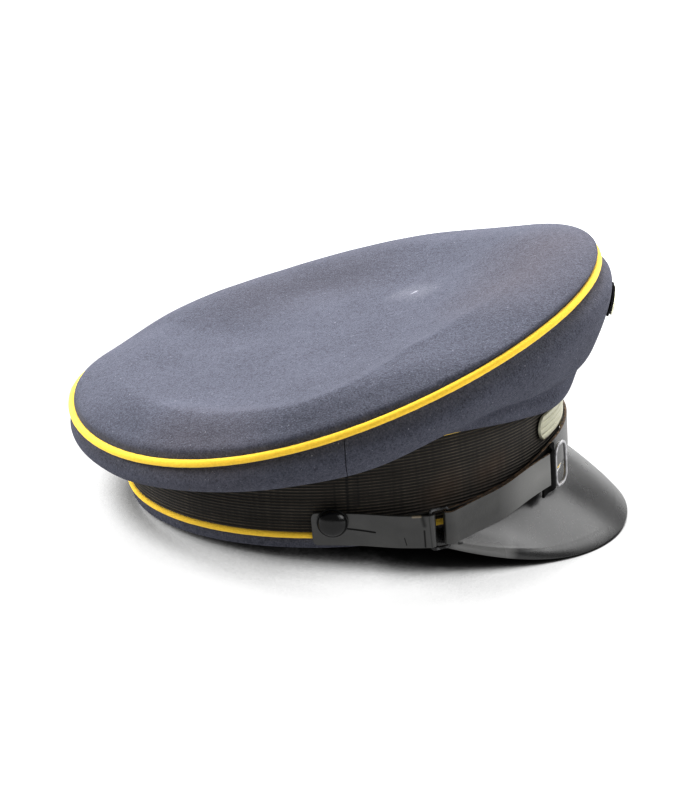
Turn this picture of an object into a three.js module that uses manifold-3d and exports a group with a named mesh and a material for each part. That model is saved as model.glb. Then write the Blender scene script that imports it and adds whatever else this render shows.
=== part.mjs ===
// Visor cap: a stiff round wool crown over a ribbed band, with coloured piping, a lacquered visor,
// a buckled chin strap and plain metal badges.
//
// Millimetres. The cap is modelled level in its own frame: +X is the front, +Y the wearer's left, +Z up,
// and z = 0 is the lower edge of the band. The last group tips it back until it rests on the visor's edge
// and on the back of the band, and puts its origin under the middle of its bounding box.
//
// Turn angles run round the cap from 0 at the front through 90 at the wearer's left to 180 at the back.

import * as THREE from 'three';
import { mergeVertices } from 'three/addons/utils/BufferGeometryUtils.js';
import Module from 'manifold-3d';

const wasm = await Module();
wasm.setup();

// ---------------------------------------------------------------------------------------------------
// Driving dimensions
// ---------------------------------------------------------------------------------------------------

const GAP = 0.3;
const TURN_STEPS = 60;

// Band: the oval that the head goes into
const BAND_HALF_LENGTH = 103;
const BAND_HALF_WIDTH = 84.4;
const BAND_WALL = 2.2;
const WELT_HEIGHT = 5.2;
const LOWER_PIPING_RADIUS = 1.2;
const UPPER_PIPING_RADIUS = 1.1;
const PIPING_PROUD = 0.2;
const RIBBON_HEIGHT = 39.6;
const LOWER_PIPING_Z = WELT_HEIGHT + GAP + LOWER_PIPING_RADIUS;
const RIBBON_BOTTOM = LOWER_PIPING_Z + LOWER_PIPING_RADIUS + GAP;
const RIBBON_TOP = RIBBON_BOTTOM + RIBBON_HEIGHT;
const UPPER_PIPING_Z = RIBBON_TOP + GAP + UPPER_PIPING_RADIUS;
const CROWN_FOOT_Z = UPPER_PIPING_Z + UPPER_PIPING_RADIUS + GAP;

// Crown: the oval of its rim, which rises towards the front and sags a little on the wearer's left
const CLOTH = 1.8;
const RIM_HALF_LENGTH = 124.9;
const RIM_HALF_WIDTH = 119.7;
const RIM_CENTRE = { x: -1.3, y: 0.5 };
const RIM_HEIGHT = 70;
const RIM_RISE = [28.3, 4.9, -1.1];
const RIM_SAG = [1.9, 1.1];
const RIM_PIPING_RADIUS = 1.65;
const RIM_SEAT = { inset: 1.4, drop: 1.7 };
const TOP_ROLL = 10.2;
const TOP_LEAN = { most: 2.4, rise: 3.2, spread: 2.4 };
const TOP_HOLLOW = { depth: 8, floor: 0.22, brink: 0.74 };
const SEAM_ANGLE = 84.5;

// Side of the crown: its section at angles round the cap. From the band's top piping the cloth goes to
// the lip of its lower fold, the crease above the lip, the belly and the bulge under the rim. Each of
// them has its distance out from the band and its height.
const SIDE_COLUMNS = [
  'angle', 'lipOut', 'lipZ', 'creaseOut', 'creaseZ', 'bellyOut', 'bellyZ', 'bulgeOut', 'bulgeZ',
];
const SIDE_SECTIONS = [
  [0, 6, 42, 10, 50.5, 17, 66, 26.3, 91.5],
  [25, 6, 43.1, 10, 52.8, 18, 65, 28.7, 88.5],
  [38, 5, 46.1, 10.5, 55.6, 22, 63.2, 30.3, 80.1],
  [52, 5, 49.2, 13.5, 58, 26, 64.4, 32.6, 75.3],
  [65, 7, 50.8, 16.5, 54.6, 29.5, 59, 34.6, 68.8],
  [80, 9.5, 50.4, 18.5, 48.3, 30.5, 49, 36.1, 60.2],
  [95, 10.5, 48, 19, 43.6, 31, 43.8, 36.4, 52.7],
  [115, 10, 45.7, 18.5, 40, 29.5, 39.7, 34.7, 45.6],
  [135, 8, 44.5, 16.5, 37.9, 26, 35.8, 31.2, 41.3],
  [155, 7, 43, 13.5, 35.5, 22, 32, 27.2, 38.5],
  [180, 6, 42.5, 12, 34.5, 19.5, 30, 24.8, 37.5],
].map((row) => Object.fromEntries(SIDE_COLUMNS.map((name, i) => [name, row[i]])));
const SIDE_ROWS = [0, 1, 2, 3, 4, 4.5, 5, 5.5, 6];

// Visor
const VISOR_HALF_ANGLE = 72.4;
const VISOR_LENGTH = 42.4;
const VISOR_SLOPE = 43.2;
const VISOR_SQUARENESS = 3.97;
const VISOR_ROOT_Z = 3.2;
const VISOR_THICKNESS = 1.6;
const VISOR_CROWNING = 1.2;
const VISOR_STEPS = 30;
const VISOR_ROWS = 5;

// Chin strap: the height of its middle and its distance from the band, the same on both sides
const STRAP_WIDTH = 15.8;
const STRAP_THICKNESS = 1.2;
const STRAP_ROUTE = [
  { angle: 0, height: 17.8, standOff: 2.6 },
  { angle: 20, height: 15.6, standOff: 2.6 },
  { angle: 36, height: 12.9, standOff: 3 },
  { angle: 50, height: 9.6, standOff: 4.2 },
  { angle: 63, height: 7.3, standOff: 5.2 },
  { angle: 73, height: 8.2, standOff: 4.4 },
  { angle: 84, height: 10, standOff: 2.2 },
  { angle: 98, height: 11, standOff: 1.8 },
];
const STRAP_END_ANGLE = 96;
const STRAP_TONGUE_WIDTH = 8;

// Flat wire frames that the strap runs through
const FRAME_WIRE = 1.4;
const SIDE_FRAME = { angle: 64.4, width: 9.8, height: 20.6, corner: 2.2 };
const FRONT_FRAME = { angle: 20.3, width: 13, height: 22, corner: 5.6, lower: 2.2 };

// Buttons
const BUTTON_ANGLE = 90;
const BUTTON_HEIGHT = 14.4;
const BUTTON_RADIUS = 7.1;
const BUTTON_RIM = 1.3;
const BUTTON_DOME = 3.4;
const SHANK_RADIUS = 1.5;
const SHANK_HOLE_RADIUS = 2;

// Badges: a reeded bar with round ends, and a lozenge on the crown
const BAR = { top: 39, reach: 40, endRadius: 5, thickness: 1.9, steps: 8 };
const REEDS = { count: 4, pitch: 3 };
const CREST = { z: 81, halfWidth: 17, halfHeight: 6.5, thickness: 1.1, backing: 0.7, margin: 1.6 };

// ---------------------------------------------------------------------------------------------------
// Closed shapes
// ---------------------------------------------------------------------------------------------------

const radians = THREE.MathUtils.degToRad;

function signedVolume(positions, index) {
  const corner = [new THREE.Vector3(), new THREE.Vector3(), new THREE.Vector3()];
  let volume = 0;
  for (let i = 0; i < index.length; i += 3) {
    corner.forEach((c, k) => c.fromArray(positions, 3 * index[i + k]));
    volume += corner[0].dot(corner[1].clone().cross(corner[2])) / 6;
  }
  return volume;
}

// A closed body through closed sections of the same number of points. A ring joins the last section to
// the first; otherwise a fan closes each end.
function loft(sections, ring = false) {
  const around = sections[0].length;
  const positions = sections.flat().flatMap((p) => [p.x, p.y, p.z]);
  const index = [];
  const spans = ring ? sections.length : sections.length - 1;
  for (let s = 0; s < spans; s += 1) {
    const here = s * around;
    const there = ((s + 1) % sections.length) * around;
    for (let k = 0; k < around; k += 1) {
      const next = (k + 1) % around;
      index.push(here + k, there + k, there + next);
      index.push(here + k, there + next, here + next);
    }
  }
  if (!ring) {
    const capEnd = (first, forward) => {
      const centre = new THREE.Vector3();
      const section = sections[first / around];
      section.forEach((p) => centre.add(p));
      centre.divideScalar(around);
      const hub = positions.length / 3;
      positions.push(centre.x, centre.y, centre.z);
      for (let k = 0; k < around; k += 1) {
        const a = first + k;
        const b = first + ((k + 1) % around);
        index.push(hub, forward ? a : b, forward ? b : a);
      }
    };
    capEnd(0, true);
    capEnd((sections.length - 1) * around, false);
  }
  if (signedVolume(positions, index) < 0) {
    for (let i = 0; i < index.length; i += 3) {
      [index[i], index[i + 1]] = [index[i + 1], index[i]];
    }
  }
  const geometry = new THREE.BufferGeometry();
  geometry.setAttribute('position', new THREE.Float32BufferAttribute(positions, 3));
  geometry.setIndex(index);
  return geometry;
}

function toSolid(geometry) {
  const bare = geometry.clone();
  bare.deleteAttribute('normal');
  bare.deleteAttribute('uv');
  const merged = mergeVertices(bare, 1e-4);
  return new wasm.Manifold(new wasm.Mesh({
    numProp: 3,
    vertProperties: new Float32Array(merged.attributes.position.array),
    triVerts: new Uint32Array(merged.index.array),
  }));
}

function fromSolid(solid) {
  const mesh = solid.getMesh();
  const geometry = new THREE.BufferGeometry();
  geometry.setAttribute('position', new THREE.BufferAttribute(new Float32Array(mesh.vertProperties), 3));
  geometry.setIndex([...mesh.triVerts]);
  return geometry;
}

function cut(geometry, tool) {
  return fromSolid(toSolid(geometry).subtract(toSolid(tool)));
}

// A smooth value between the rows of a table that is the same on the left and the right of the cap.
function column(table, key, angle) {
  const folded = Math.abs(((angle + 180) % 360 + 360) % 360 - 180);
  const last = table.length - 1;
  const span = Math.min(last - 1, Math.max(0, table.findIndex((row) => row.angle >= folded) - 1));
  const row = (i) => {
    if (i < 0) return { angle: -table[1].angle, [key]: table[1][key] };
    if (i > last) return { angle: 360 - table[last - 1].angle, [key]: table[last - 1][key] };
    return table[i];
  };
  const [before, from, to, after] = [row(span - 1), row(span), row(span + 1), row(span + 2)];
  const slopeFrom = (to[key] - before[key]) / (to.angle - before.angle);
  const slopeTo = (after[key] - from[key]) / (after.angle - from.angle);
  const width = to.angle - from.angle;
  const s = Math.min(1, (folded - from.angle) / width);
  const s2 = s * s;
  const s3 = s2 * s;
  return (2 * s3 - 3 * s2 + 1) * from[key] + (s3 - 2 * s2 + s) * width * slopeFrom
    + (3 * s2 - 2 * s3) * to[key] + (s3 - s2) * width * slopeTo;
}

// ---------------------------------------------------------------------------------------------------
// The band's oval and the crown's rim
// ---------------------------------------------------------------------------------------------------

function bandNormal(angle) {
  const t = radians(angle);
  return new THREE.Vector3(Math.cos(t) / BAND_HALF_LENGTH, Math.sin(t) / BAND_HALF_WIDTH, 0).normalize();
}

function bandPoint(angle, out = 0, z = 0) {
  const t = radians(angle);
  const onOval = new THREE.Vector3(BAND_HALF_LENGTH * Math.cos(t), BAND_HALF_WIDTH * Math.sin(t), z);
  return onOval.addScaledVector(bandNormal(angle), out);
}

// The turn angle at an arc length from the front, along the band's surface.
function angleAtArc(arc) {
  const step = 0.25;
  let angle = 0;
  let travelled = 0;
  while (travelled < Math.abs(arc)) {
    travelled += bandPoint(angle).distanceTo(bandPoint(angle + step));
    angle += step;
  }
  return Math.sign(arc) * angle;
}

function rimPlan(angle, share = 1) {
  const t = radians(angle);
  const x = RIM_CENTRE.x + share * RIM_HALF_LENGTH * Math.cos(t);
  const y = RIM_CENTRE.y + share * RIM_HALF_WIDTH * Math.sin(t);
  return new THREE.Vector3(x, y, 0);
}

// How far the crown hangs lower on the left than the mean of both sides.
function sag(angle, share = 1) {
  const t = radians(angle);
  return RIM_SAG.reduce((sum, depth, i) => sum + depth * share ** (i + 1) * Math.sin((i + 1) * t), 0);
}

// Height of the rim's surface, at a share of the way from the crown's middle to its rim.
function rimHeight(angle, share = 1) {
  const t = radians(angle);
  const waves = RIM_RISE.map((rise, i) => rise * share ** (i + 1) * Math.cos((i + 1) * t));
  return waves.reduce((sum, wave) => sum + wave, RIM_HEIGHT) - sag(angle, share);
}

function rimPoint(angle) {
  return rimPlan(angle).setZ(rimHeight(angle));
}

const turnAngles = [...Array(TURN_STEPS).keys()].map((i) => (360 * i) / TURN_STEPS);

// A ring of constant section that follows the band. The section is a list of [out, z] points.
function bandRing(section) {
  return loft(turnAngles.map((angle) => section.map(([out, z]) => bandPoint(angle, out, z))), true);
}

function roundSection(radius, sides, centreOut, centreZ) {
  return [...Array(sides).keys()].map((i) => {
    const t = (2 * Math.PI * (i + 0.5)) / sides;
    return [centreOut + radius * Math.cos(t), centreZ + radius * Math.sin(t)];
  });
}

function wallSection(bottom, top) {
  return [[-BAND_WALL, bottom], [0, bottom], [0, top], [-BAND_WALL, top]];
}

function bandPiping(radius, z) {
  return bandRing(roundSection(radius, 6, PIPING_PROUD, z));
}

// ---------------------------------------------------------------------------------------------------
// Crown
// ---------------------------------------------------------------------------------------------------

// The outer line of the crown's side at one angle, from the band's top piping out to the rim, as points
// of the plane through the band and the rim: x is the distance out from the band.
function sideLine(angle) {
  const reach = bandPoint(angle).distanceTo(rimPlan(angle));
  const at = (name) => {
    const out = column(SIDE_SECTIONS, `${name}Out`, angle);
    return new THREE.Vector3(out, 0, column(SIDE_SECTIONS, `${name}Z`, angle) - (sag(angle) * out) / reach);
  };
  return new THREE.CatmullRomCurve3([
    new THREE.Vector3(-BAND_WALL, 0, CROWN_FOOT_Z),
    new THREE.Vector3(PIPING_PROUD + UPPER_PIPING_RADIUS + 3 * GAP, 0, CROWN_FOOT_Z + 0.2),
    at('lip'), at('crease'), at('belly'), at('bulge'),
    new THREE.Vector3(reach - RIM_SEAT.inset, 0, rimHeight(angle) - RIM_SEAT.drop),
  ], false, 'centripetal');
}

function sidePoint(angle, out, z) {
  const foot = bandPoint(angle);
  const outward = rimPlan(angle).sub(foot).normalize();
  return foot.addScaledVector(outward, out).setZ(z);
}

// One closed section of the side panel: its outer line, then its inner line one cloth thickness inside.
function sideSection(angle) {
  const line = sideLine(angle);
  const shares = SIDE_ROWS.map((row) => row / (line.points.length - 1));
  const outer = shares.map((share) => line.getPoint(share));
  const inner = outer.map((p, i) => {
    const along = line.getTangent(shares[i]);
    return new THREE.Vector3(p.x - CLOTH * along.z, 0, p.z + CLOTH * along.x);
  });
  return [...outer, ...inner.reverse()].map((p) => sidePoint(angle, p.x, p.z));
}

// A side panel from one seam to the other, the short way round past the angle `middle`.
function sidePanel(middle, halfAngle) {
  const seamGap = THREE.MathUtils.radToDeg(GAP / 2 / RIM_HALF_WIDTH);
  const reach = halfAngle - seamGap;
  const steps = Math.round((TURN_STEPS * halfAngle) / 180);
  const sections = [];
  for (let i = 0; i <= steps; i += 1) {
    sections.push(sideSection(middle - reach + (2 * reach * i) / steps));
  }
  return loft(sections);
}

// A point of the crown's top, some way under its outer surface. The cloth rolls up steeply from the rim,
// leaning a little over the piping, and dips to a hollow in the middle.
function topPoint(angle, share, sink) {
  const rise = TOP_ROLL * (1 - share ** 6) ** 0.42;
  const lean = TOP_LEAN.most * Math.exp(-(((rise - TOP_LEAN.rise) / TOP_LEAN.spread) ** 2));
  const fill = THREE.MathUtils.smoothstep(share, TOP_HOLLOW.floor, TOP_HOLLOW.brink);
  const height = rimHeight(angle, share) + RIM_SEAT.drop + rise - TOP_HOLLOW.depth * (1 - fill);
  const inset = 1 - RIM_SEAT.inset / RIM_HALF_WIDTH;
  const outward = rimPlan(angle, 1).sub(rimPlan(angle, 0)).normalize();
  return rimPlan(angle, inset * share).addScaledVector(outward, lean).setZ(height - sink);
}

function crownTop() {
  const outerShares = [0.2, 0.4, 0.58, 0.73, 0.85, 0.93, 0.975, 0.994, 1];
  const innerShares = [0.965, 0.88, 0.73, 0.58, 0.4, 0.2];
  const ring = (share, sink) => turnAngles.map((angle) => topPoint(angle, share, sink));
  return loft([
    ...outerShares.map((share) => ring(share, 0)),
    ...innerShares.map((share) => ring(share, CLOTH)),
  ]);
}

function rimPiping() {
  const route = new THREE.CatmullRomCurve3(turnAngles.map(rimPoint), true, 'centripetal');
  const corners = roundSection(RIM_PIPING_RADIUS, 8, 0, 0).map(([x, y]) => new THREE.Vector2(x, y));
  const sweep = { steps: TURN_STEPS + 6, extrudePath: route, bevelEnabled: false };
  return new THREE.ExtrudeGeometry(new THREE.Shape(corners), sweep);
}

// ---------------------------------------------------------------------------------------------------
// Visor
// ---------------------------------------------------------------------------------------------------

// The visor's top is swept forward and down from the band, and its length falls off to the corners,
// where it stands nearly upright and its back lies against the band.
function visorSection(angle) {
  const slope = radians(VISOR_SLOPE);
  const glide = new THREE.Vector3(Math.cos(slope), 0, -Math.sin(slope));
  const t = radians(angle);
  const along = new THREE.Vector3(-BAND_HALF_LENGTH * Math.sin(t), BAND_HALF_WIDTH * Math.cos(t), 0);
  const up = glide.clone().cross(along).normalize();
  const length = VISOR_LENGTH * (1 - (Math.abs(angle) / VISOR_HALF_ANGLE) ** VISOR_SQUARENESS);
  const corner = 1 - length / VISOR_LENGTH;
  const root = bandPoint(angle, GAP + VISOR_THICKNESS * up.dot(bandNormal(angle)) * corner, VISOR_ROOT_Z);
  const edgeDrop = up.clone().multiplyScalar(-VISOR_THICKNESS);
  const rootDrop = new THREE.Vector3(0, 0, -VISOR_THICKNESS / Math.max(up.z, 0.5)).lerp(edgeDrop, corner);
  const top = [];
  const bottom = [];
  for (let i = 0; i < VISOR_ROWS; i += 1) {
    const share = i / (VISOR_ROWS - 1);
    const crowning = VISOR_CROWNING * 4 * share * (1 - share) * (length / VISOR_LENGTH);
    const point = root.clone().addScaledVector(glide, share * length).addScaledVector(up, crowning);
    top.push(point);
    bottom.push(point.clone().add(rootDrop.clone().lerp(edgeDrop, Math.min(1, 3 * share))));
  }
  return [...top, ...bottom.reverse()];
}

function visor() {
  const reach = 0.985 * VISOR_HALF_ANGLE;
  const sections = [];
  for (let i = 0; i <= VISOR_STEPS; i += 1) {
    sections.push(visorSection(reach * ((2 * i) / VISOR_STEPS - 1)));
  }
  return loft(sections);
}

// ---------------------------------------------------------------------------------------------------
// Chin strap and its metal
// ---------------------------------------------------------------------------------------------------

const strapHeight = (angle) => column(STRAP_ROUTE, 'height', angle);
const strapStandOff = (angle) => column(STRAP_ROUTE, 'standOff', angle);
const LAYER = STRAP_THICKNESS + GAP;
const WRAP = 0.72 * FRAME_WIRE + STRAP_THICKNESS / 2 + GAP;

// A point of the strap's middle line, some layers out from the innermost one.
function strapPoint(angle, extra = 0) {
  return bandPoint(angle, strapStandOff(angle) + STRAP_THICKNESS / 2 + extra, strapHeight(angle));
}

function strapRun(from, to, steps, extra) {
  const points = [];
  for (let i = 0; i <= steps; i += 1) {
    const share = i / steps;
    const angle = from + (to - from) * share;
    points.push(strapPoint(angle, typeof extra === 'function' ? extra(share) : extra));
  }
  return points;
}

// Half a turn round an upright bar of a frame: the strap arrives on one side of the bar and leaves on
// the other. `ahead` is the way that it points when it reaches the bar, as a sign of the turn angle.
function strapTurn(frameAngle, barOffset, barOut, ahead, startsInside) {
  const outward = bandNormal(frameAngle);
  const round = new THREE.Vector3(-outward.y, outward.x, 0);
  const height = strapHeight(besideBar(frameAngle, barOffset, barOut));
  const centre = bandPoint(frameAngle, barOut, height).addScaledVector(round, barOffset);
  const start = startsInside ? -1 : 1;
  return [0, 30, 60, 90, 120, 150, 180].map((turn) => centre.clone()
    .addScaledVector(outward, start * WRAP * Math.cos(radians(turn)))
    .addScaledVector(round, ahead * WRAP * Math.sin(radians(turn))));
}

// A flat leather ribbon on edge along a route, with its width given at each point.
function ribbon(points, widthAt) {
  const sections = points.map((p, i) => {
    const before = points[Math.max(0, i - 1)];
    const after = points[Math.min(points.length - 1, i + 1)];
    const across = new THREE.Vector3(after.y - before.y, before.x - after.x, 0).normalize();
    const half = widthAt(i) / 2;
    return [[-1, -1], [1, -1], [1, 1], [-1, 1]].map(([side, end]) => p.clone()
      .addScaledVector(across, (side * STRAP_THICKNESS) / 2)
      .add(new THREE.Vector3(0, 0, end * half)));
  });
  return loft(sections);
}

// Width of a strap whose first end is rounded over the given number of points.
function roundedWidth(i, roundPoints) {
  const share = Math.min(1, (i + 0.35) / roundPoints);
  return STRAP_WIDTH * Math.sqrt(1 - (1 - share) ** 2);
}

const sideBarOffset = (SIDE_FRAME.width - FRAME_WIRE) / 2;
const frontBarOffset = (FRONT_FRAME.width - FRAME_WIRE) / 2;

// The turn angle of a bar of a flat frame that is seated at another turn angle.
function besideBar(frameAngle, barOffset, barOut) {
  const arc = bandPoint(frameAngle - 0.5, barOut).distanceTo(bandPoint(frameAngle + 0.5, barOut));
  return frameAngle + barOffset / arc;
}

const sideBarOut = strapStandOff(SIDE_FRAME.angle) + STRAP_THICKNESS / 2 + WRAP;
const frontBarOut = strapStandOff(FRONT_FRAME.angle) + STRAP_THICKNESS / 2 + LAYER + WRAP;

function endPoints(side) {
  return [0, 0.8, 2, 3.6].map((share) => strapPoint(side * (STRAP_END_ANGLE - share)));
}

function shankHole(side) {
  const hole = new THREE.CylinderGeometry(SHANK_HOLE_RADIUS, SHANK_HOLE_RADIUS, 12, 12);
  const angle = side * BUTTON_ANGLE;
  const axis = new THREE.Vector3(0, 1, 0);
  hole.applyQuaternion(new THREE.Quaternion().setFromUnitVectors(axis, bandNormal(angle)));
  hole.translate(...bandPoint(angle, 4, BUTTON_HEIGHT).toArray());
  return hole;
}

// From its rounded end past the right button to the side frame, round its near bar and back behind.
function strapShort() {
  const bar = besideBar(-SIDE_FRAME.angle, -sideBarOffset, sideBarOut);
  const rise = (share) => (sideBarOut + WRAP - strapStandOff(bar) - STRAP_THICKNESS / 2) * share ** 2;
  const points = [
    ...endPoints(-1),
    ...strapRun(-STRAP_END_ANGLE + 6, bar - 0.6, 12, rise),
    ...strapTurn(-SIDE_FRAME.angle, -sideBarOffset, sideBarOut, 1, false),
    ...strapRun(bar - 1, bar - 5, 2, sideBarOut - WRAP - strapStandOff(bar) - STRAP_THICKNESS / 2),
  ];
  const whole = ribbon(points, (i) => roundedWidth(i, 4));
  return cut(whole, shankHole(-1));
}

// From the left button round the front, behind the front frame, round the side frame's far bar and back
// outside as a second layer to the front frame, where a narrow tongue turns round the bar.
function strapLong() {
  const farBar = besideBar(-SIDE_FRAME.angle, sideBarOffset, sideBarOut);
  const tongueBar = besideBar(-FRONT_FRAME.angle, -frontBarOffset, frontBarOut);
  const outerLift = sideBarOut + WRAP - strapStandOff(farBar) - STRAP_THICKNESS / 2;
  const tongueLift = frontBarOut + WRAP - strapStandOff(tongueBar) - STRAP_THICKNESS / 2;
  const settle = (share) => {
    const fromFrame = (outerLift - LAYER) * Math.max(0, 1 - 4 * share) ** 2;
    const toFrame = (tongueLift - LAYER) * Math.max(0, 3 * share - 2) ** 2;
    return LAYER + 0.1 + fromFrame + toFrame;
  };
  const inner = [...endPoints(1), ...strapRun(STRAP_END_ANGLE - 6, farBar + 0.6, 44, 0)];
  const outer = strapRun(farBar + 1, tongueBar - 4, 14, settle);
  const tongue = [
    strapPoint(tongueBar - 3.6, tongueLift),
    strapPoint(tongueBar - 0.8, tongueLift),
    ...strapTurn(-FRONT_FRAME.angle, -frontBarOffset, frontBarOut, 1, false),
    strapPoint(tongueBar - 1.2, frontBarOut - WRAP - strapStandOff(tongueBar) - STRAP_THICKNESS / 2),
    strapPoint(tongueBar - 4, frontBarOut - WRAP - strapStandOff(tongueBar) - STRAP_THICKNESS / 2),
  ];
  const farTurn = strapTurn(-SIDE_FRAME.angle, sideBarOffset, sideBarOut, -1, true);
  const points = [...inner, ...farTurn, ...outer, ...tongue];
  const tongueStart = points.length - tongue.length;
  const whole = ribbon(points, (i) => (i < tongueStart ? roundedWidth(i, 4) : STRAP_TONGUE_WIDTH));
  return cut(whole, shankHole(1));
}

function roundedRectangle(width, height, corner, Kind) {
  const outline = new Kind();
  const x = width / 2;
  const y = height / 2;
  outline.moveTo(-x + corner, -y);
  outline.lineTo(x - corner, -y);
  outline.absarc(x - corner, -y + corner, corner, -Math.PI / 2, 0, false);
  outline.lineTo(x, y - corner);
  outline.absarc(x - corner, y - corner, corner, 0, Math.PI / 2, false);
  outline.lineTo(-x + corner, y);
  outline.absarc(-x + corner, y - corner, corner, Math.PI / 2, Math.PI, false);
  outline.lineTo(-x, -y + corner);
  outline.absarc(-x + corner, -y + corner, corner, Math.PI, 1.5 * Math.PI, false);
  return outline;
}

function wireFrame({ width, height, corner }) {
  const outline = roundedRectangle(width, height, corner, THREE.Shape);
  const inside = [width - 2 * FRAME_WIRE, height - 2 * FRAME_WIRE, Math.max(0.6, corner - FRAME_WIRE)];
  outline.holes.push(roundedRectangle(...inside, THREE.Path));
  const plate = { depth: FRAME_WIRE, curveSegments: 4, bevelEnabled: false };
  const frame = new THREE.ExtrudeGeometry(outline, plate);
  frame.translate(0, 0, -FRAME_WIRE / 2);
  return frame;
}

// Places a piece whose Z axis leaves the band, whose X axis runs round it and whose Y axis is up.
function seatOnBand(mesh, angle, out, z) {
  const outward = bandNormal(angle);
  const round = new THREE.Vector3(-outward.y, outward.x, 0);
  const up = new THREE.Vector3(0, 0, 1);
  mesh.quaternion.setFromRotationMatrix(new THREE.Matrix4().makeBasis(round, up, outward));
  mesh.position.copy(bandPoint(angle, out, z));
  return mesh;
}

// Domed button on a shank that goes through the strap to the band. Its axis is Z and z = 0 its back.
function button(shankLength) {
  const profile = [new THREE.Vector2(0, -shankLength), new THREE.Vector2(SHANK_RADIUS, -shankLength)];
  profile.push(new THREE.Vector2(SHANK_RADIUS, 0), new THREE.Vector2(BUTTON_RADIUS - 0.4, 0));
  for (let i = 0; i < 5; i += 1) {
    const t = (i / 5) * (Math.PI / 2);
    profile.push(new THREE.Vector2(BUTTON_RADIUS * Math.cos(t), BUTTON_RIM + BUTTON_DOME * Math.sin(t)));
  }
  profile.push(new THREE.Vector2(0, BUTTON_RIM + BUTTON_DOME));
  const lathe = new THREE.LatheGeometry(profile, 20);
  lathe.rotateX(Math.PI / 2);
  return lathe;
}

// ---------------------------------------------------------------------------------------------------
// Badges
// ---------------------------------------------------------------------------------------------------

// A straight reeded bar with round ends that follows the band's front.
function bandBadge() {
  const rows = 2 * REEDS.count;
  const sections = [];
  for (let i = -BAR.steps; i <= BAR.steps; i += 1) {
    const point = (row, out) => {
      const reach = BAR.reach - BAR.endRadius * (1 - Math.sqrt(1 - (0.95 * ((2 * row) / rows - 1)) ** 2));
      return bandPoint(angleAtArc((reach * i) / BAR.steps), out, BAR.top - (REEDS.pitch * row) / 2);
    };
    const back = [];
    const front = [];
    for (let row = 0; row <= rows; row += 1) {
      if (row % 2 === 0) back.push(point(row, GAP));
      front.push(point(row, GAP + BAR.thickness * (row % 2 ? 1 : 0.6)));
    }
    sections.push([...back, ...front.reverse()]);
  }
  return loft(sections);
}

// A lozenge-shaped pad on the front of the crown's side, between two distances off the cloth.
function crestPad(halfWidth, halfHeight, from, to) {
  const line = sideLine(0);
  const spaced = line.getSpacedPoints(80);
  const middle = spaced.findIndex((p, i) => i > 20 && p.z > CREST.z) / 80;
  const length = line.getLength();
  const across = bandPoint(0).distanceTo(bandPoint(1)) * (1 + line.getPointAt(middle).x / BAND_HALF_WIDTH);
  const surface = (y, z, off) => {
    const angle = y / across;
    const here = sideLine(angle);
    const share = middle + z / length;
    const p = here.getPointAt(share);
    const along = here.getTangentAt(share);
    return sidePoint(angle, p.x + off * along.z, p.z - off * along.x);
  };
  const outline = (share, off) => [...Array(16).keys()].map((i) => {
    const t = (2 * Math.PI * i) / 16;
    const size = share / (Math.abs(Math.cos(t)) + Math.abs(Math.sin(t))) ** 0.7;
    return surface(halfWidth * size * Math.cos(t), halfHeight * size * Math.sin(t), off);
  });
  const shoulder = (from + to) / 2;
  return loft([outline(0.5, from), outline(1, from), outline(1, shoulder), outline(0.55, to)]);
}

// ---------------------------------------------------------------------------------------------------
// Assembly
// ---------------------------------------------------------------------------------------------------

const finishes = {
  wool: { color: 0x6f7289, roughness: 0.95, metalness: 0 },
  ribbon: { color: 0x1c1a18, roughness: 0.8, metalness: 0 },
  piping: { color: 0xf5b41c, roughness: 0.9, metalness: 0 },
  lacquer: { color: 0x2b2c2d, roughness: 0.25, metalness: 0 },
  leather: { color: 0x343432, roughness: 0.45, metalness: 0 },
  blackMetal: { color: 0x141416, roughness: 0.25, metalness: 0.2 },
  frameMetal: { color: 0x6a6a68, roughness: 0.35, metalness: 0.8 },
  paleMetal: { color: 0xcfcfbc, roughness: 0.45, metalness: 0.7 },
  backing: { color: 0x17181c, roughness: 0.95, metalness: 0 },
};

const cap = new THREE.Group();

function piece(name, geometry, finish) {
  const material = new THREE.MeshStandardMaterial({ ...finishes[finish], flatShading: true });
  const mesh = new THREE.Mesh(geometry, material);
  mesh.name = name;
  cap.add(mesh);
  return mesh;
}

piece('crown_top', crownTop(), 'wool');
piece('crown_side_front', sidePanel(0, SEAM_ANGLE), 'wool');
piece('crown_side_rear', sidePanel(180, 180 - SEAM_ANGLE), 'wool');
piece('crown_piping', rimPiping(), 'piping');
piece('band', bandRing(wallSection(RIBBON_BOTTOM, RIBBON_TOP)), 'ribbon');
piece('band_top_piping', bandPiping(UPPER_PIPING_RADIUS, UPPER_PIPING_Z), 'piping');
piece('band_bottom_piping', bandPiping(LOWER_PIPING_RADIUS, LOWER_PIPING_Z), 'piping');
piece('base_welt', bandRing(wallSection(0, WELT_HEIGHT)), 'wool');
const visorMesh = piece('visor', visor(), 'lacquer');
piece('strap_short', strapShort(), 'leather');
piece('strap_long', strapLong(), 'leather');

seatOnBand(piece('side_frame', wireFrame(SIDE_FRAME), 'frameMetal'),
  -SIDE_FRAME.angle, sideBarOut, strapHeight(SIDE_FRAME.angle));
seatOnBand(piece('front_frame', wireFrame(FRONT_FRAME), 'frameMetal'),
  -FRONT_FRAME.angle, frontBarOut, strapHeight(FRONT_FRAME.angle) - FRONT_FRAME.lower);

for (const [name, side] of [['button_right', -1], ['button_left', 1]]) {
  const angle = side * BUTTON_ANGLE;
  const back = strapStandOff(angle) + STRAP_THICKNESS + 2 * GAP;
  seatOnBand(piece(name, button(back - GAP), 'blackMetal'), angle, back, BUTTON_HEIGHT);
}

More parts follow.
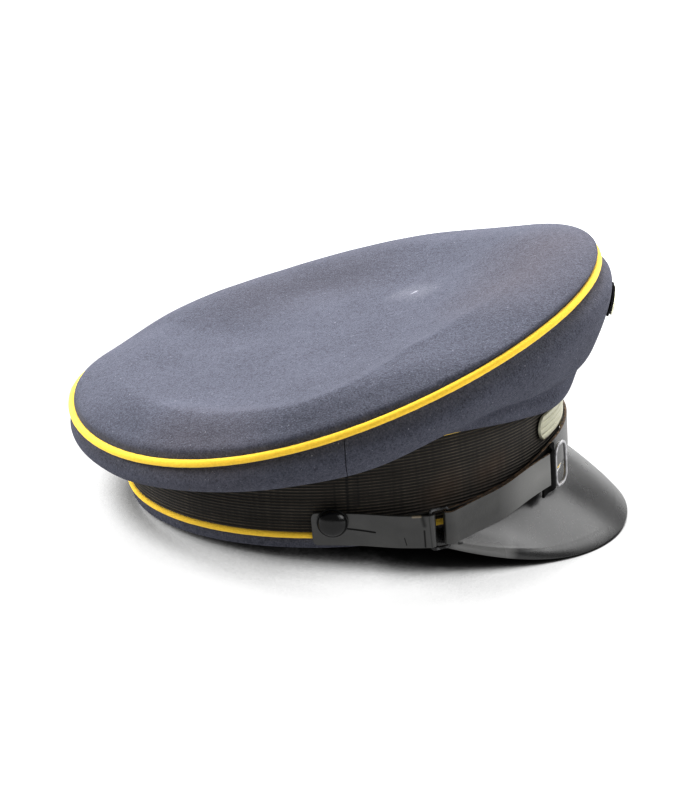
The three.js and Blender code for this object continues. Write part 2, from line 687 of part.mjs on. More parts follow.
piece('band_badge', bandBadge(), 'paleMetal');
const crestTop = GAP + CREST.backing;
piece('crown_badge_backing', crestPad(
  CREST.halfWidth + CREST.margin, CREST.halfHeight + CREST.margin, GAP, crestTop), 'backing');
piece('crown_badge', crestPad(
  CREST.halfWidth, CREST.halfHeight, crestTop + GAP, crestTop + GAP + CREST.thickness), 'paleMetal');

// The cap tips back about the back of the band until the visor's edge is down on the same level.
function restTilt() {
  const edge = visorMesh.geometry.attributes.position;
  let tilt = 0;
  for (let i = 0; i < edge.count; i += 1) {
    tilt = Math.max(tilt, Math.atan2(-edge.getZ(i), edge.getX(i) + BAND_HALF_LENGTH));
  }
  return tilt;
}

const tipped = new THREE.Group();
cap.position.x = BAND_HALF_LENGTH;
tipped.add(cap);
tipped.rotation.y = -restTilt();

const placed = new THREE.Group();
placed.add(tipped);
placed.updateMatrixWorld(true);
const bounds = new THREE.Box3().setFromObject(placed, true);
const middle = bounds.getCenter(new THREE.Vector3());
tipped.position.set(-middle.x, -middle.y, -bounds.min.z);
placed.updateMatrixWorld(true);

export default placed;
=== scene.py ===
import math

import bpy
import numpy as np
from mathutils import Matrix, Vector, noise


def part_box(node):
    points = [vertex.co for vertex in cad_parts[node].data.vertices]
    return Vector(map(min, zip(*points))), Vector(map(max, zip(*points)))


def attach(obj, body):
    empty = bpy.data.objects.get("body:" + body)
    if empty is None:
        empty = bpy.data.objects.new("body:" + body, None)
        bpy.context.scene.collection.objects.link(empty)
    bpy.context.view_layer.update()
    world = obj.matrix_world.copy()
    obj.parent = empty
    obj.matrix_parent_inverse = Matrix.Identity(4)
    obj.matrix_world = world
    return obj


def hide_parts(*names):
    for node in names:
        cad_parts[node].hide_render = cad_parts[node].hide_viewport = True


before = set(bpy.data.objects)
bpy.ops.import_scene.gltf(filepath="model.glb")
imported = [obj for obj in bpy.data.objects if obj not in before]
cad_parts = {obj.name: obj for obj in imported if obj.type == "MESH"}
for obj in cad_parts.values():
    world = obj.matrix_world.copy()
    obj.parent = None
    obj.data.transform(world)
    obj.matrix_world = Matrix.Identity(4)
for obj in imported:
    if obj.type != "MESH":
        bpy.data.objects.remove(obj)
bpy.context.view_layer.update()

bl_info = {
    "name": "Visor Cap",
    "version": (1, 0, 0),
    "blender": (4, 5, 0),
    "location": "View3D > Sidebar > Visor Cap",
    "description": "Builds a wool visor cap with its piping, ribbed band, visor, chin strap and badges",
    "category": "Add Mesh",
}

MM = 0.001

# Side of the crown at angles round the cap, in millimetres out from the band and up from its lower edge.
SIDE_COLUMNS = (
    "angle", "lip_out", "lip_z", "crease_out", "crease_z", "belly_out", "belly_z", "bulge_out", "bulge_z",
)
SIDE_SECTIONS = (
    (0, 6, 42, 10, 50.5, 19.6, 66, 26.8, 93.5),
    (25, 6, 43.1, 10, 52.8, 20.4, 65, 29, 89.5),
    (38, 5, 46.1, 10.5, 55.6, 22, 63.2, 30.3, 80.1),
    (52, 5, 49.2, 13.5, 58, 26, 64.4, 32.6, 75.3),
    (65, 7, 50.8, 16.5, 54.6, 29.5, 59, 34.6, 68.8),
    (80, 9.5, 50.4, 18.5, 48.3, 30.5, 49, 36.1, 60.2),
    (95, 10.5, 48, 19, 43.6, 31, 43.8, 36.4, 52.7),
    (115, 10, 45.7, 18.5, 39.2, 29.5, 38.5, 34.7, 44.8),
    (135, 8, 44.5, 16.5, 36.9, 26, 34.4, 31.2, 40.3),
    (155, 7, 43, 13.5, 35.5, 22, 32, 27.2, 38.5),
    (180, 6, 42.5, 12, 34.5, 19.5, 30, 24.8, 37.5),
)

# Chin strap at angles round the cap: the height of its middle and its distance from the band.
STRAP_COLUMNS = ("angle", "height", "stand_off")
STRAP_ROUTE = (
    (0, 18.8, 2.6), (20, 17.4, 2.6), (28, 15.8, 2.8), (36, 13.1, 3), (50, 9.6, 4.2),
    (63, 7.3, 5.2), (73, 8.2, 4.4), (84, 10, 2.2), (98, 11, 1.8),
)

# Crease inside the roll of the crown's top: angle, share of the way out, and height in millimetres.
TOP_CREASE = np.array((
    (-180, 0.8, 0.2), (-150, 0.8, 0.3), (-121, 0.81, 0.4), (-109, 0.82, 0.4), (-94, 0.85, 0.4),
    (-81, 0.81, 0.4), (-64, 0.7, 0.5), (-35, 0.7, 0.3), (-7, 0.74, 0.3), (30, 0.78, 0.2), (180, 0.8, 0.2),
)).T

# How much lower the roll of the crown's top lies where it has sagged: angle and millimetres.
TOP_SLACK = np.array((
    (-180, 3.8), (-168, 2.2), (-155, 0.8), (-140, 0), (16, 0), (28, 1), (42, 2.5), (52, 3), (60, 2.6),
    (74, 1.5), (86, 0.5), (96, 0), (122, 0), (134, 1), (146, 3), (158, 4), (170, 4.4), (180, 3.8),
)).T

# Where the rim itself has sagged on the wearer's left: angle, reach in degrees and depth in millimetres.
RIM_SLACK = ((50, 18, 2.4), (154, 16, 3.6))

# The rim's height round the cap, in millimetres: waves of one, two and three turns that are the same on
# both sides, then waves of one and two turns that lower the wearer's left.
RIM_RISE = (28.3, 4.9, -1.1)
RIM_SAG = (1.9, 1.1)

# Millimetres: the rim's shift over the band, forward and to the left; how far the crown's cloth stays in
# from the rim and off its height; how far the cloth and the pipings stand off the band; depth of the
# front fold; lean of the top's roll; what the top is cut larger by; mean radius of the crown's side.
RIM_SHIFT = (-1.3, 0.5)
RIM_INSET, RIM_OFFSET, SEAM_OFFSET = 1.4, 1.7, 0.2
FOLD_DEPTH, TOP_LEAN, SEAM_ALLOWANCE, SIDE_RADIUS = 4.0, 2.4, 10, 115

# Where the top's roll slopes down beside the front and how far, in degrees; the crease's width, as a share.
TOP_SLOPE = (-47, 16)
CREASE_WIDTH = 0.045

# The strap's two frames: angle, sizes in millimetres, and how many strap layers lie under them.
FRAMES = {
    "side": {"at": -64.4, "width": 9.8, "height": 20.6, "corner": 2.2, "lower": 0.0, "layers": 0},
    "front": {"at": -20.3, "width": 13, "height": 22, "corner": 5.6, "lower": 3.9, "layers": 1},
}

# Heights of the buttons and the crown's badge, and the band's badge, in millimetres.
BUTTON_HEIGHT, CREST_HEIGHT = 14.4, 81
BAR = {"reach": 40, "end": 5, "lower": 27, "height": 12, "reeds": 4}

# Studio lights in metres and watts: place, what they point at, size and power.
LIGHTS = (
    ("overhead_box", (-0.2, 2.1, 2.25), (0, 0.1, 0), (4.4, 2.6), 375.0),
    ("right_box", (1.5, 0.1, 0.95), (0, 0, 0.03), (2.0, 0.9), 20.0),
    ("front_box", (1.13, -0.8, 0.8), (0, 0, 0.03), (0.9, 0.7), 4.0),
    ("back_box", (0.5, 1.7, 0.35), (0, 0, 0.05), (3.0, 0.8), 3.5),
    ("left_box", (-1.6, 0.0, 0.8), (0, 0, 0.05), (1.0, 0.8), 34.0),
)
CAMERA = {
    "azimuth": 1.893, "elevation": 23.076, "roll": 3.028, "distance": 1.1392,
    "target": (-0.00155, -0.00046, 0.04843), "lens": 108, "sensor": 36,
}


def columns(names, rows):
    """A table's columns by name: angles in degrees, and lengths in metres."""
    values = np.array(rows, float).T
    return {name: v if name == "angle" else v * MM for name, v in zip(names, values)}


SIDE = columns(SIDE_COLUMNS, SIDE_SECTIONS)
STRAP = columns(STRAP_COLUMNS, STRAP_ROUTE)


# --- Sizes and colours ---


def length(name, description, millimetres):
    return bpy.props.FloatProperty(
        name=name, description=description, default=millimetres * MM, unit="LENGTH", precision=5)


def angle(name, description, degrees):
    return bpy.props.FloatProperty(
        name=name, description=description, default=math.radians(degrees), subtype="ANGLE")


def colour(name, description, code):
    return bpy.props.FloatVectorProperty(
        name=name, description=description, default=linear(code), subtype="COLOR", size=4, min=0, max=1)


def linear(code):
    """An sRGB hex colour as linear red, green, blue and alpha."""
    parts = [int(code[i:i + 2], 16) / 255 for i in (0, 2, 4)]
    return (*(c / 12.92 if c <= 0.04045 else ((c + 0.055) / 1.055) ** 2.4 for c in parts), 1.0)


class CapSizes(bpy.types.PropertyGroup):
    gap: length("Gap", "Clearance between neighbouring pieces", 0.3)
    band_half_length: length("Band half length", "Half of the band's oval from front to back", 103)
    band_half_width: length("Band half width", "Half of the band's oval from side to side", 84.4)
    band_wall: length("Band wall", "Thickness of the band and the welt", 2.2)
    welt_height: length("Welt height", "Height of the wool strip under the lower piping", 5.2)
    ribbon_height: length("Ribbon height", "Height of the ribbed band", 39.6)
    rib_pitch: length("Rib pitch", "Distance from rib to rib", 1.52)
    lower_piping: length("Lower piping radius", "Radius of the piping under the band", 1.2)
    upper_piping: length("Upper piping radius", "Radius of the piping over the band", 1.1)
    rim_half_length: length("Rim half length", "Half of the crown's rim from front to back", 124.9)
    rim_half_width: length("Rim half width", "Half of the crown's rim from side to side", 119.7)
    rim_height: length("Rim height", "Mean height of the crown's rim over the band's lower edge", 70)
    rim_piping: length("Rim piping radius", "Radius of the piping round the crown's rim", 1.65)
    cloth: length("Cloth", "Thickness of the crown's cloth", 1.8)
    top_roll: length("Top roll", "Rise of the crown's top over its rim", 10.2)
    top_hollow: length("Top hollow", "Depth of the hollow in the middle of the top", 8)
    seam_angle: angle("Seam angle", "Place of the side seams, from the front", 84.5)
    visor_angle: angle("Visor angle", "Place of the visor's corners, from the front", 72.4)
    visor_length: length("Visor length", "Length of the visor at the front", 42.4)
    visor_slope: angle("Visor slope", "Slope of the visor at the front", 43.2)
    visor_thickness: length("Visor thickness", "Thickness of the visor", 1.6)
    strap_width: length("Strap width", "Width of the chin strap", 15.8)
    strap_thickness: length("Strap thickness", "Thickness of the chin strap", 1.2)
    frame_wire: length("Frame wire", "Width of the frames' wire", 1.4)
    button_radius: length("Button radius", "Radius of the buttons", 7.1)


class CapColours(bpy.types.PropertyGroup):
    wool: colour("Wool", "Lighter fibres of the wool", "6b6d79")
    wool_deep: colour("Wool, deep", "Darker fibres of the wool", "393a42")
    piping: colour("Piping", "Coloured felt piping", "fbd44d")
    ribbon: colour("Ribbon", "Crests of the band's ribs", "60584d")
    lacquer: colour("Lacquer", "Lacquered visor", "111112")
    raw_edge: colour("Raw edge", "Raw edges of leather and fibre", "7a6248")
    strap: colour("Strap", "Lacquered strap leather", "1e1e1d")
    enamel: colour("Enamel", "Black enamel of buttons and frames", "070708")
    worn_metal: colour("Worn metal", "Frames where the enamel has worn", "b4b4b6")
    badge: colour("Badge", "Pale cast badges", "a9a897")
    backing: colour("Backing", "Felt under the crown badge", "0b0b0e")


def sizes():
    return bpy.context.scene.cap_sizes


def colours():
    return bpy.context.scene.cap_colours


# --- Form of the cap ---
# It is level in its own frame: +X front, +Y the wearer's left, z = 0 the band's lower edge.


def rest_place():
    """Turn and shift that set the level cap down as it rests, from the welt's box."""
    s = sizes()
    low, high = (Vector(corner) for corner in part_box("base_welt"))
    span = 2 * s.band_half_length
    diagonal = math.hypot(span, s.welt_height)
    tilt = math.asin((high.z - low.z) / diagonal) - math.atan2(s.welt_height, span)
    c, d = math.cos(tilt), math.sin(tilt)
    turn = np.array([[c, 0, -d], [0, 1, 0], [d, 0, c]])
    middle = low.x + c * s.band_half_length + d * s.welt_height
    return turn, np.array([middle, (low.y + high.y) / 2, d * s.band_half_length])


def settle(points):
    turn, shift = rest_place()
    return points @ turn.T + shift


def ramp(value, start, end):
    """0 at start and before, 1 at end and beyond, and a straight line between; end may be the smaller."""
    return np.clip((value - start) / (end - start), 0, 1)


def bell(value, middle, reach):
    return np.exp(-(((value - middle) / reach) ** 2))


def turn_of(at):
    """An angle round the cap as one from -180 to 180, with 0 at the front."""
    return (np.asarray(at, float) + 180) % 360 - 180


def column(table, name, at):
    """A smooth value between the rows of a table that is the same on the left and the right."""
    folded = np.abs(turn_of(at))
    angles, values = table["angle"], table[name]
    slope = np.zeros(len(values))
    slope[1:-1] = (values[2:] - values[:-2]) / (angles[2:] - angles[:-2])
    i = np.clip(np.searchsorted(angles, folded) - 1, 0, len(angles) - 2)
    width = angles[i + 1] - angles[i]
    s = np.clip((folded - angles[i]) / width, 0, 1)
    return ((2 * s**3 - 3 * s**2 + 1) * values[i] + (s**3 - 2 * s**2 + s) * width * slope[i]
            + (3 * s**2 - 2 * s**3) * values[i + 1] + (s**3 - s**2) * width * slope[i + 1])


def unit(vectors):
    return vectors / np.linalg.norm(vectors, axis=-1, keepdims=True)


def travelled(points):
    """How far along a line each of its points lies."""
    return np.concatenate([[0], np.cumsum(np.linalg.norm(np.diff(points, axis=0), axis=1))])


def band_normal(at):
    s, t = sizes(), np.radians(at)
    return unit(np.stack([np.cos(t) / s.band_half_length, np.sin(t) / s.band_half_width, 0 * t], -1))


def band_point(at, out=0.0, z=0.0):
    s, t = sizes(), np.radians(at)
    x, y, h = np.broadcast_arrays(s.band_half_length * np.cos(t), s.band_half_width * np.sin(t), z)
    return np.stack([x, y, h], -1) + band_normal(at) * np.expand_dims(np.asarray(out, float), -1)


def rim_plan(at, share=1.0):
    s, t = sizes(), np.radians(at)
    x = RIM_SHIFT[0] * MM + share * s.rim_half_length * np.cos(t)
    y = RIM_SHIFT[1] * MM + share * s.rim_half_width * np.sin(t)
    return np.stack(np.broadcast_arrays(x, y, 0.0), -1)


def rim_outward(at):
    return unit(rim_plan(at) - rim_plan(at, 0.0))


def sag(at, share=1.0):
    t = np.radians(at)
    return sum(depth * MM * share**(i + 1) * np.sin((i + 1) * t) for i, depth in enumerate(RIM_SAG))


def rim_height(at, share=1.0):
    t = np.radians(at)
    rise = sum(wave * MM * share**(i + 1) * np.cos((i + 1) * t) for i, wave in enumerate(RIM_RISE))
    slack = sum(depth * MM * bell(turn_of(at), middle, reach) for middle, reach, depth in RIM_SLACK)
    return sizes().rim_height + rise - sag(at, share) - slack * share**2


def spline(points, row):
    """A centripetal curve through points[..., k, :], at row from 0 to k - 1."""
    first = 2 * points[..., :1, :] - points[..., 1:2, :]
    last = 2 * points[..., -1:, :] - points[..., -2:-1, :]
    padded = np.concatenate([first, points, last], -2)
    i = np.clip(np.floor(row).astype(int), 0, points.shape[-2] - 2)
    w = (row - i)[..., None]
    p = [np.take_along_axis(padded, (i + k)[..., None, None], -2)[..., 0, :] for k in range(4)]
    gaps = (np.linalg.norm(p[k + 1] - p[k], axis=-1, keepdims=True) for k in range(3))
    d = [np.maximum(gap, 1e-9) ** 0.5 for gap in gaps]
    out = d[1] * ((p[1] - p[0]) / d[0] - (p[2] - p[0]) / (d[0] + d[1]) + (p[2] - p[1]) / d[1])
    back = d[1] * ((p[2] - p[1]) / d[1] - (p[3] - p[1]) / (d[1] + d[2]) + (p[3] - p[2]) / d[2])
    return (p[1] + out * w + (-3 * p[1] + 3 * p[2] - 2 * out - back) * w**2
            + (2 * p[1] - 2 * p[2] + out + back) * w**3)


def crown_foot():
    s = sizes()
    return s.welt_height + 2 * s.lower_piping + s.ribbon_height + 2 * s.upper_piping + 4 * s.gap


def side_controls(at):
    """The points, out from the band and up, that the side's outer line goes through at each angle."""
    s = sizes()
    reach = np.linalg.norm(rim_plan(at) - band_point(at), axis=-1)
    foot = np.full_like(reach, crown_foot())
    hem = SEAM_OFFSET * MM
    points = [(0 * reach - s.band_wall, foot), (0 * reach + hem + s.upper_piping + 3 * s.gap, foot + hem)]
    for name in ("lip", "crease", "belly", "bulge"):
        out = column(SIDE, name + "_out", at)
        points.append((out, column(SIDE, name + "_z", at) - sag(at) * out / reach))
    points.append((reach - RIM_INSET * MM, rim_height(at) - RIM_OFFSET * MM))
    return np.stack([np.stack(p, -1) for p in points], -2)


def fold(at, row):
    """Depth of the crease where the front of the side is drawn in over its lower lip."""
    turn = np.abs(turn_of(at))
    middle = 2.95 - 1.1 * ramp(turn, 44, 62) ** 1.5
    above, below = np.clip((row - middle) / 0.5, 0, 9), np.clip((middle - row) / 0.3, 0, 9)
    return FOLD_DEPTH * MM * ramp(turn, 60, 46) * ramp(turn, 6, 26) * np.exp(-(above**2) - below**2)


def side_point(at, out, z):
    foot = band_point(at)
    point = foot + unit(rim_plan(at) - foot) * out[..., None]
    point[..., 2] = z
    return point


def top_rise(turn, crest, right, share):
    """The roll's height: an arc on the wearer's right, a slope beside the front, and steep elsewhere."""
    s = sizes()
    steep = s.top_roll * (1 - share**6) ** 0.42
    wide = np.minimum(1 - crest, 0.18)
    bend = ((wide * s.rim_half_width) ** 2 + s.top_roll**2) / (2 * s.top_roll)
    out = np.clip(share - 1 + wide, 0, 1) * s.rim_half_width
    arc = s.top_roll - bend + np.sqrt(np.maximum(bend**2 - out**2, 0))
    slope = s.top_roll * (1 - 0.7 * ramp(share, crest, 1)) * (1 - share**40) ** 0.42
    rise = steep + right * (arc - steep)
    rise += bell(turn, *TOP_SLOPE) * (slope - rise)
    slack = np.interp(turn, TOP_SLACK[0], TOP_SLACK[1]) * MM / s.top_roll
    return rise * (1 - slack * share**1.3)


def top_place(at, share):
    """A point of the crown's top: a roll that leans a little over the piping, a soft crease and a hollow."""
    s = sizes()
    turn = turn_of(at)
    crest, height = (np.interp(turn, TOP_CREASE[0], TOP_CREASE[k]) for k in (1, 2))
    right = np.clip(1.6 * np.cos(np.radians(at + 110)), 0, 1)
    rise = top_rise(turn, crest, right, share)
    lean = TOP_LEAN * MM * bell(rise / MM, 3.2, 2.4)
    point = rim_plan(at, (1 - RIM_INSET * MM / s.rim_half_width) * share)
    point += rim_outward(at) * lean[:, None]
    brink = ramp(share, 0.25 + 0.2 * np.clip(np.sin(np.radians(at)), 0, 1), 0.88)
    fill = brink**2 * (3 - 2 * brink)
    fill += right * (ramp(share, 0.2, crest + 0.02) ** 2.2 - fill)
    crease = height * MM * bell(share, crest, CREASE_WIDTH)
    point[:, 2] = rim_height(at, share) + RIM_OFFSET * MM + rise - s.top_hollow * (1 - fill) + crease
    return point


# --- Modelling ---


def deselect():
    if bpy.context.object and bpy.context.object.mode != "OBJECT":
        bpy.ops.object.mode_set(mode="OBJECT")
    bpy.ops.object.select_all(action="DESELECT")


def pick(piece):
    deselect()
    piece.select_set(True)
    bpy.context.view_layer.objects.active = piece


def select_mesh():
    """Everything of the active mesh, in edit mode."""
    bpy.ops.object.mode_set(mode="EDIT")
    bpy.ops.mesh.select_all(action="SELECT")


def face_out():
    """Turns the active mesh's faces outward and stays in edit mode."""
    select_mesh()
    bpy.ops.mesh.normals_make_consistent(inside=False)


def made_as(name):
    """Leaves edit mode with the new piece under its name."""
    bpy.ops.object.mode_set(mode="OBJECT")
    piece = bpy.context.active_object
    piece.name = piece.data.name = name
    return piece


def surface(name, across, along, place, uv_size=(1, 1), closed=False):
    """A quad surface from a grid: its corner (u, v), each from 0 to 1, goes to place(u, v)."""
    deselect()
    bpy.ops.mesh.primitive_grid_add(x_subdivisions=across, y_subdivisions=along, size=2, calc_uvs=True)
    mesh = bpy.context.active_object.data
    corners = np.empty(3 * len(mesh.vertices))
    mesh.vertices.foreach_get("co", corners)
    corners = corners.reshape(-1, 3)
    placed = settle(place((corners[:, 0] + 1) / 2, (corners[:, 1] + 1) / 2))
    mesh.vertices.foreach_set("co", placed.ravel())
    uv = np.empty(2 * len(mesh.loops))
    mesh.uv_layers.active.data.foreach_get("uv", uv)
    mesh.uv_layers.active.data.foreach_set("uv", (uv.reshape(-1, 2) * uv_size).ravel())
    select_mesh()
    bpy.ops.mesh.remove_doubles(threshold=1e-6)
    if closed:
        face_out()
    return made_as(name)


def modify(piece, kind, **settings):
    pick(piece)
    modifier = piece.modifiers.new(kind.title(), kind)
    for name, value in settings.items():
        setattr(modifier, name, value)
    bpy.ops.object.modifier_apply(modifier=modifier.name)


def bevel(piece, millimetres, segments):
    modify(piece, "BEVEL", width=millimetres * MM, segments=segments, limit_method="ANGLE",
           angle_limit=math.radians(50))


def thicken(piece, thickness, offset=-1, rim=0, inner=0):
    modify(piece, "SOLIDIFY", thickness=thickness, offset=offset, use_even_offset=True,
           material_offset_rim=rim, material_offset=inner)


def wall(piece, middle, thickness, *faces, rim=0):
    """Gives an open surface a thickness on the side towards a point of the level cap."""
    centre = Vector(settle(np.array(middle, float)))
    if sum(f.area * (f.center - centre).dot(f.normal) for f in piece.data.polygons) < 0:
        pick(piece)
        select_mesh()
        bpy.ops.mesh.flip_normals()
        bpy.ops.object.mode_set(mode="OBJECT")
    clothe(piece, *faces)
    thicken(piece, thickness, rim=rim, inner=min(1, len(faces) - 1))


def finish_piece(piece, node, smooth=40):
    pick(piece)
    bpy.ops.object.shade_smooth_by_angle(angle=math.radians(smooth))
    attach(piece, "root")
    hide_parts(node)


def ripple(points, size, depth):
    """A soft uneven height at each point, for cloth that isn't quite even."""
    return np.array([noise.noise(Vector(p) / size) for p in points]) * depth


def cord(name, radius, around, along, path):
    """A closed round cord; path gives its centre and its outward line at each angle."""
    def place(u, v):
        centre, outward = path(360 * u)
        t = 2 * np.pi * v
        uneven = ripple(np.stack([u * 400, np.cos(t), np.sin(t)], -1), 1.0, 0.06 * radius)
        thick = (radius + uneven * ramp(np.minimum(u, 1 - u), 0, 0.02))[:, None]
        return centre + thick * (outward * np.cos(t)[:, None] + np.sin(t)[:, None] * (0, 0, 1))
    piece = surface(name + "_cord", along, around, place, closed=True)
    clothe(piece, "piping")
    finish_piece(piece, name)


def seat(at, out, z):
    """A place on the band: its centre, and the lines round the band, up and outward."""
    outward = band_normal(at)
    return band_point(at, out, z), np.array([-outward[1], outward[0], 0]), np.array([0, 0, 1.0]), outward


def stand(piece, place):
    """Moves a piece modelled flat at the origin, face up, onto a seat of the level cap."""
    centre, *lines = place
    turn, _ = rest_place()
    matrix = Matrix((turn @ np.stack(lines, -1)).tolist()).to_4x4()
    matrix.translation = settle(centre)
    piece.data.transform(matrix)
    piece.data.update()
    return piece


def turned(name, profile, place, sides=64):
    """A solid of revolution on a seat, drawn up ring by ring. The profile is radius and height in mm."""
    deselect()
    (radius, height), *rest = profile
    bpy.ops.mesh.primitive_circle_add(
        vertices=sides, radius=radius * MM, fill_type="NGON", location=(0, 0, height * MM),
        enter_editmode=True)
    select_mesh()
    for wider, higher in rest:
        bpy.ops.mesh.extrude_region_move(TRANSFORM_OT_translate={"value": (0, 0, (higher - height) * MM)})
        bpy.ops.transform.resize(value=(wider / radius, wider / radius, 1))
        radius, height = wider, higher
    bpy.ops.mesh.poke()
    face_out()
    piece = made_as(name)
    bpy.ops.object.transform_apply(location=True, rotation=True, scale=True)
    return stand(piece, place)


# --- Materials ---

# Marks: start, end and width in millimetres, share at the middle, softness and colour. On wool and
# lacquer they lie in space; on the ribs and the straps they are runs along the piece and heights on it.
# A few are painted light: shade on the wool's far side, highlights on the visor's corner and the long strap.
DARK_MARK = "060606"
WOOL_MARKS_AND_SHADE = (
    ((-72, -96, 66), (-52, -106, 69), 22, 0.12, 1.6, "6b5444"),
    # Painted shade darkening the far side of the crown's top.
    ((-52, 70, 74), (-12, 74, 84), 36, 0.3, 1.6, "4a4446"),
    ((73, -28, 122), (86, 8, 128), 34, 0.16, 1.6, "6b5444"),
    ((24, 14.5, 99.2), (26.5, 16, 99.4), 1.3, 0.6, 0.8, "c9c9cf"),
    ((20, 22, 98), (30, 10, 100), 9, 0.1, 1.6, "c9c9cf"),
)
RIBBON_MARKS = (
    ((488, 12), (494, 16), 8, 0.16, 1.6, "6b4a30"),
    ((511, 17), (519, 20), 7, 0.16, 1.6, "6b4a30"),
    ((445, 9), (445.3, 23.5), 1.0, 0.6, 0.8, DARK_MARK),
    ((450.1, 8), (450.6, 32), 1.1, 0.85, 0.6, DARK_MARK),
    ((454.7, 13), (455, 27), 0.9, 0.6, 0.8, DARK_MARK),
)
LACQUER_MARKS_AND_HIGHLIGHT = (
    # Painted highlight over scuffing: the visor's near corner lightened to whitish grey.
    ((53, -77.2, 13.8), (76, -70.5, 8.4), 4.5, 0.4, 1.6, "c4c4c2"),
    # Two small dark spots on the visor along the strap's lower edge.
    ((53.4, -77, 14.8), (54.6, -76.4, 14.6), 1.4, 0.9, 0.3, DARK_MARK),
    ((57.3, -74.3, 16.7), (58.6, -73.6, 16.6), 1.4, 0.9, 0.3, DARK_MARK),
)
SLIT = ((12, 8.9), (28.3, 7.2), 0.75, 0.8, 0.4, DARK_MARK)
SHORT_STRAP_MARKS = (
    SLIT,
    ((41.2, 5.1), (42, 1.6), 0.35, 0.8, 0.5, DARK_MARK),
    ((50.2, 8.6), (50.3, 0.8), 0.7, 0.75, 0.8, DARK_MARK),
    ((49.6, 15.4), (50.4, 11.2), 1.3, 0.6, 1.2, DARK_MARK),
    ((52.6, 15.6), (53.2, 0.4), 0.4, 0.35, 0.8, DARK_MARK),
    ((45.5, 15.4), (48.8, 15.6), 0.9, 0.45, 0.8, "b9a98c"),
)
# The long strap's slit, and a painted highlight lightening the strap to grey towards the front frame.
LONG_STRAP_MARKS_AND_HIGHLIGHT = (SLIT, ((345, 8), (328, 8), 20, 0.85, 1.6, "8c8c8a"))


def add(tree, kind, inputs=None, **settings):
    """Adds a node with its settings; an input is a value or another node's output."""
    made = tree.nodes.new("ShaderNode" + kind)
    for name, value in settings.items():
        setattr(made, name, value)
    for name, value in (inputs or {}).items():
        if isinstance(value, bpy.types.NodeSocket):
            tree.links.new(value, made.inputs[name])
        else:
            made.inputs[name].default_value = value
    return made


def grain(tree, where, millimetres, detail, roughness=0.5):
    """Noise whose grains are some millimetres across."""
    return add(tree, "TexNoise", {"Vector": where, "Scale": 1 / (millimetres * MM), "Detail": detail,
                                  "Roughness": roughness}).outputs[0]


def spread(tree, value, start=0.0, end=1.0, low=0.0, high=1.0):
    """Carries a value from start and end to low and high, and keeps it between them."""
    return add(tree, "MapRange", {"Value": value, "From Min": start, "From Max": end,
                                  "To Min": low, "To Max": high}).outputs[0]


def sum_up(tree, operation, *terms):
    return add(tree, "Math", dict(enumerate(terms)), operation=operation).outputs[0]


def dye(tone, factor=1.0):
    """A colour by its name in the panel or its sRGB hex code, darkened or lightened by a factor."""
    colour = getattr(colours(), tone) if hasattr(colours(), tone) else linear(tone)
    return (*(factor * part for part in colour[:3]), 1.0)


def mix(tree, share, *tones):
    """One tone turning into another by a share; a tone is a colour, its name or a node's output."""
    first, second = (dye(tone) if isinstance(tone, str) else tone for tone in tones)
    return add(tree, "Mix", {0: share, 6: first, 7: second}, data_type="RGBA").outputs[2]


def relief(tree, height, millimetres, strength, **under):
    return add(tree, "Bump", {"Height": height, "Distance": millimetres * MM, "Strength": strength,
                              **under}).outputs[0]


def stroke(tree, where, start, end, width, share, soft):
    """A mark along a line from start to end: its share at the middle, and 0 beyond its width."""
    start, end = (Vector(tuple(point) + (0,) * (3 - len(point))) * MM for point in (start, end))
    way = end - start
    off = add(tree, "VectorMath", {0: where, 1: start}, operation="SUBTRACT").outputs[0]
    run = add(tree, "VectorMath", {0: off, 1: way / way.length_squared}, operation="DOT_PRODUCT")
    run = add(tree, "Clamp", {"Value": run.outputs["Value"]}).outputs[0]
    nearest = add(tree, "VectorMath", {0: way, "Scale": run}, operation="SCALE").outputs[0]
    away = add(tree, "VectorMath", {0: off, 1: nearest}, operation="DISTANCE").outputs["Value"]
    outer, inner = ((0.5 + way * soft / 2) * width * MM for way in (1, -1))
    return spread(tree, away, outer, inner, high=share)


def marked(tree, base, where, marks):
    for *line, code in marks:
        base = mix(tree, stroke(tree, where, *line), base, code)
    return base


def shade(tree, **inputs):
    """The surface's shader: names of its inputs with their spaces as underscores."""
    shader = add(tree, "BsdfPrincipled", {name.replace("_", " "): v for name, v in inputs.items()})
    add(tree, "OutputMaterial", {"Surface": shader.outputs[0]})


def napped_wool(tree, where, uv):
    """Felted wool cloth with a short nap: slate blue, matt, with paler and darker fibres mixed in; its
    marks add brownish patches, pale lint and painted shade on the far side of the top.
    """
    # Real fibres are finer than 0.05 mm; the tufts that they make are drawn 0.8 mm across to show.
    fibre = grain(tree, where, 0.8, 3, 0.8)
    tuft = grain(tree, where, 2.6, 3, 0.7)
    mixed = sum_up(tree, "MULTIPLY_ADD", tuft, 0.35, fibre)
    mixed = sum_up(tree, "MULTIPLY_ADD", grain(tree, where, 40, 2), 0.2, mixed)
    base = mix(tree, spread(tree, mixed, 0.52, 1.03), "wool_deep", "wool")
    base = mix(tree, spread(tree, grain(tree, where, 1.0, 1), 0.72, 0.8, high=0.5), base, "b0b1bb")
    fine = relief(tree, fibre, 0.8, 0.9)
    shade(tree, Base_Color=marked(tree, base, where, WOOL_MARKS_AND_SHADE),
          Normal=relief(tree, tuft, 0.5, 0.5, Normal=fine), Roughness=0.95, Sheen_Weight=0.12,
          Sheen_Roughness=0.5, Sheen_Tint=dye("c9ccdf"), Specular_IOR_Level=0.12)


def felt_piping(tree, where, uv):
    """Wool cord covered in dyed felt: a strong even colour with a soft broken surface."""
    fibre = grain(tree, where, 1.3, 3, 0.7)
    base = mix(tree, spread(tree, fibre, 0.3, 0.6), dye("piping", 0.88), "piping")
    shade(tree, Base_Color=base, Normal=relief(tree, fibre, 0.4, 0.6), Roughness=0.9,
          Sheen_Weight=0.2, Sheen_Roughness=0.5, Specular_IOR_Level=0.2)


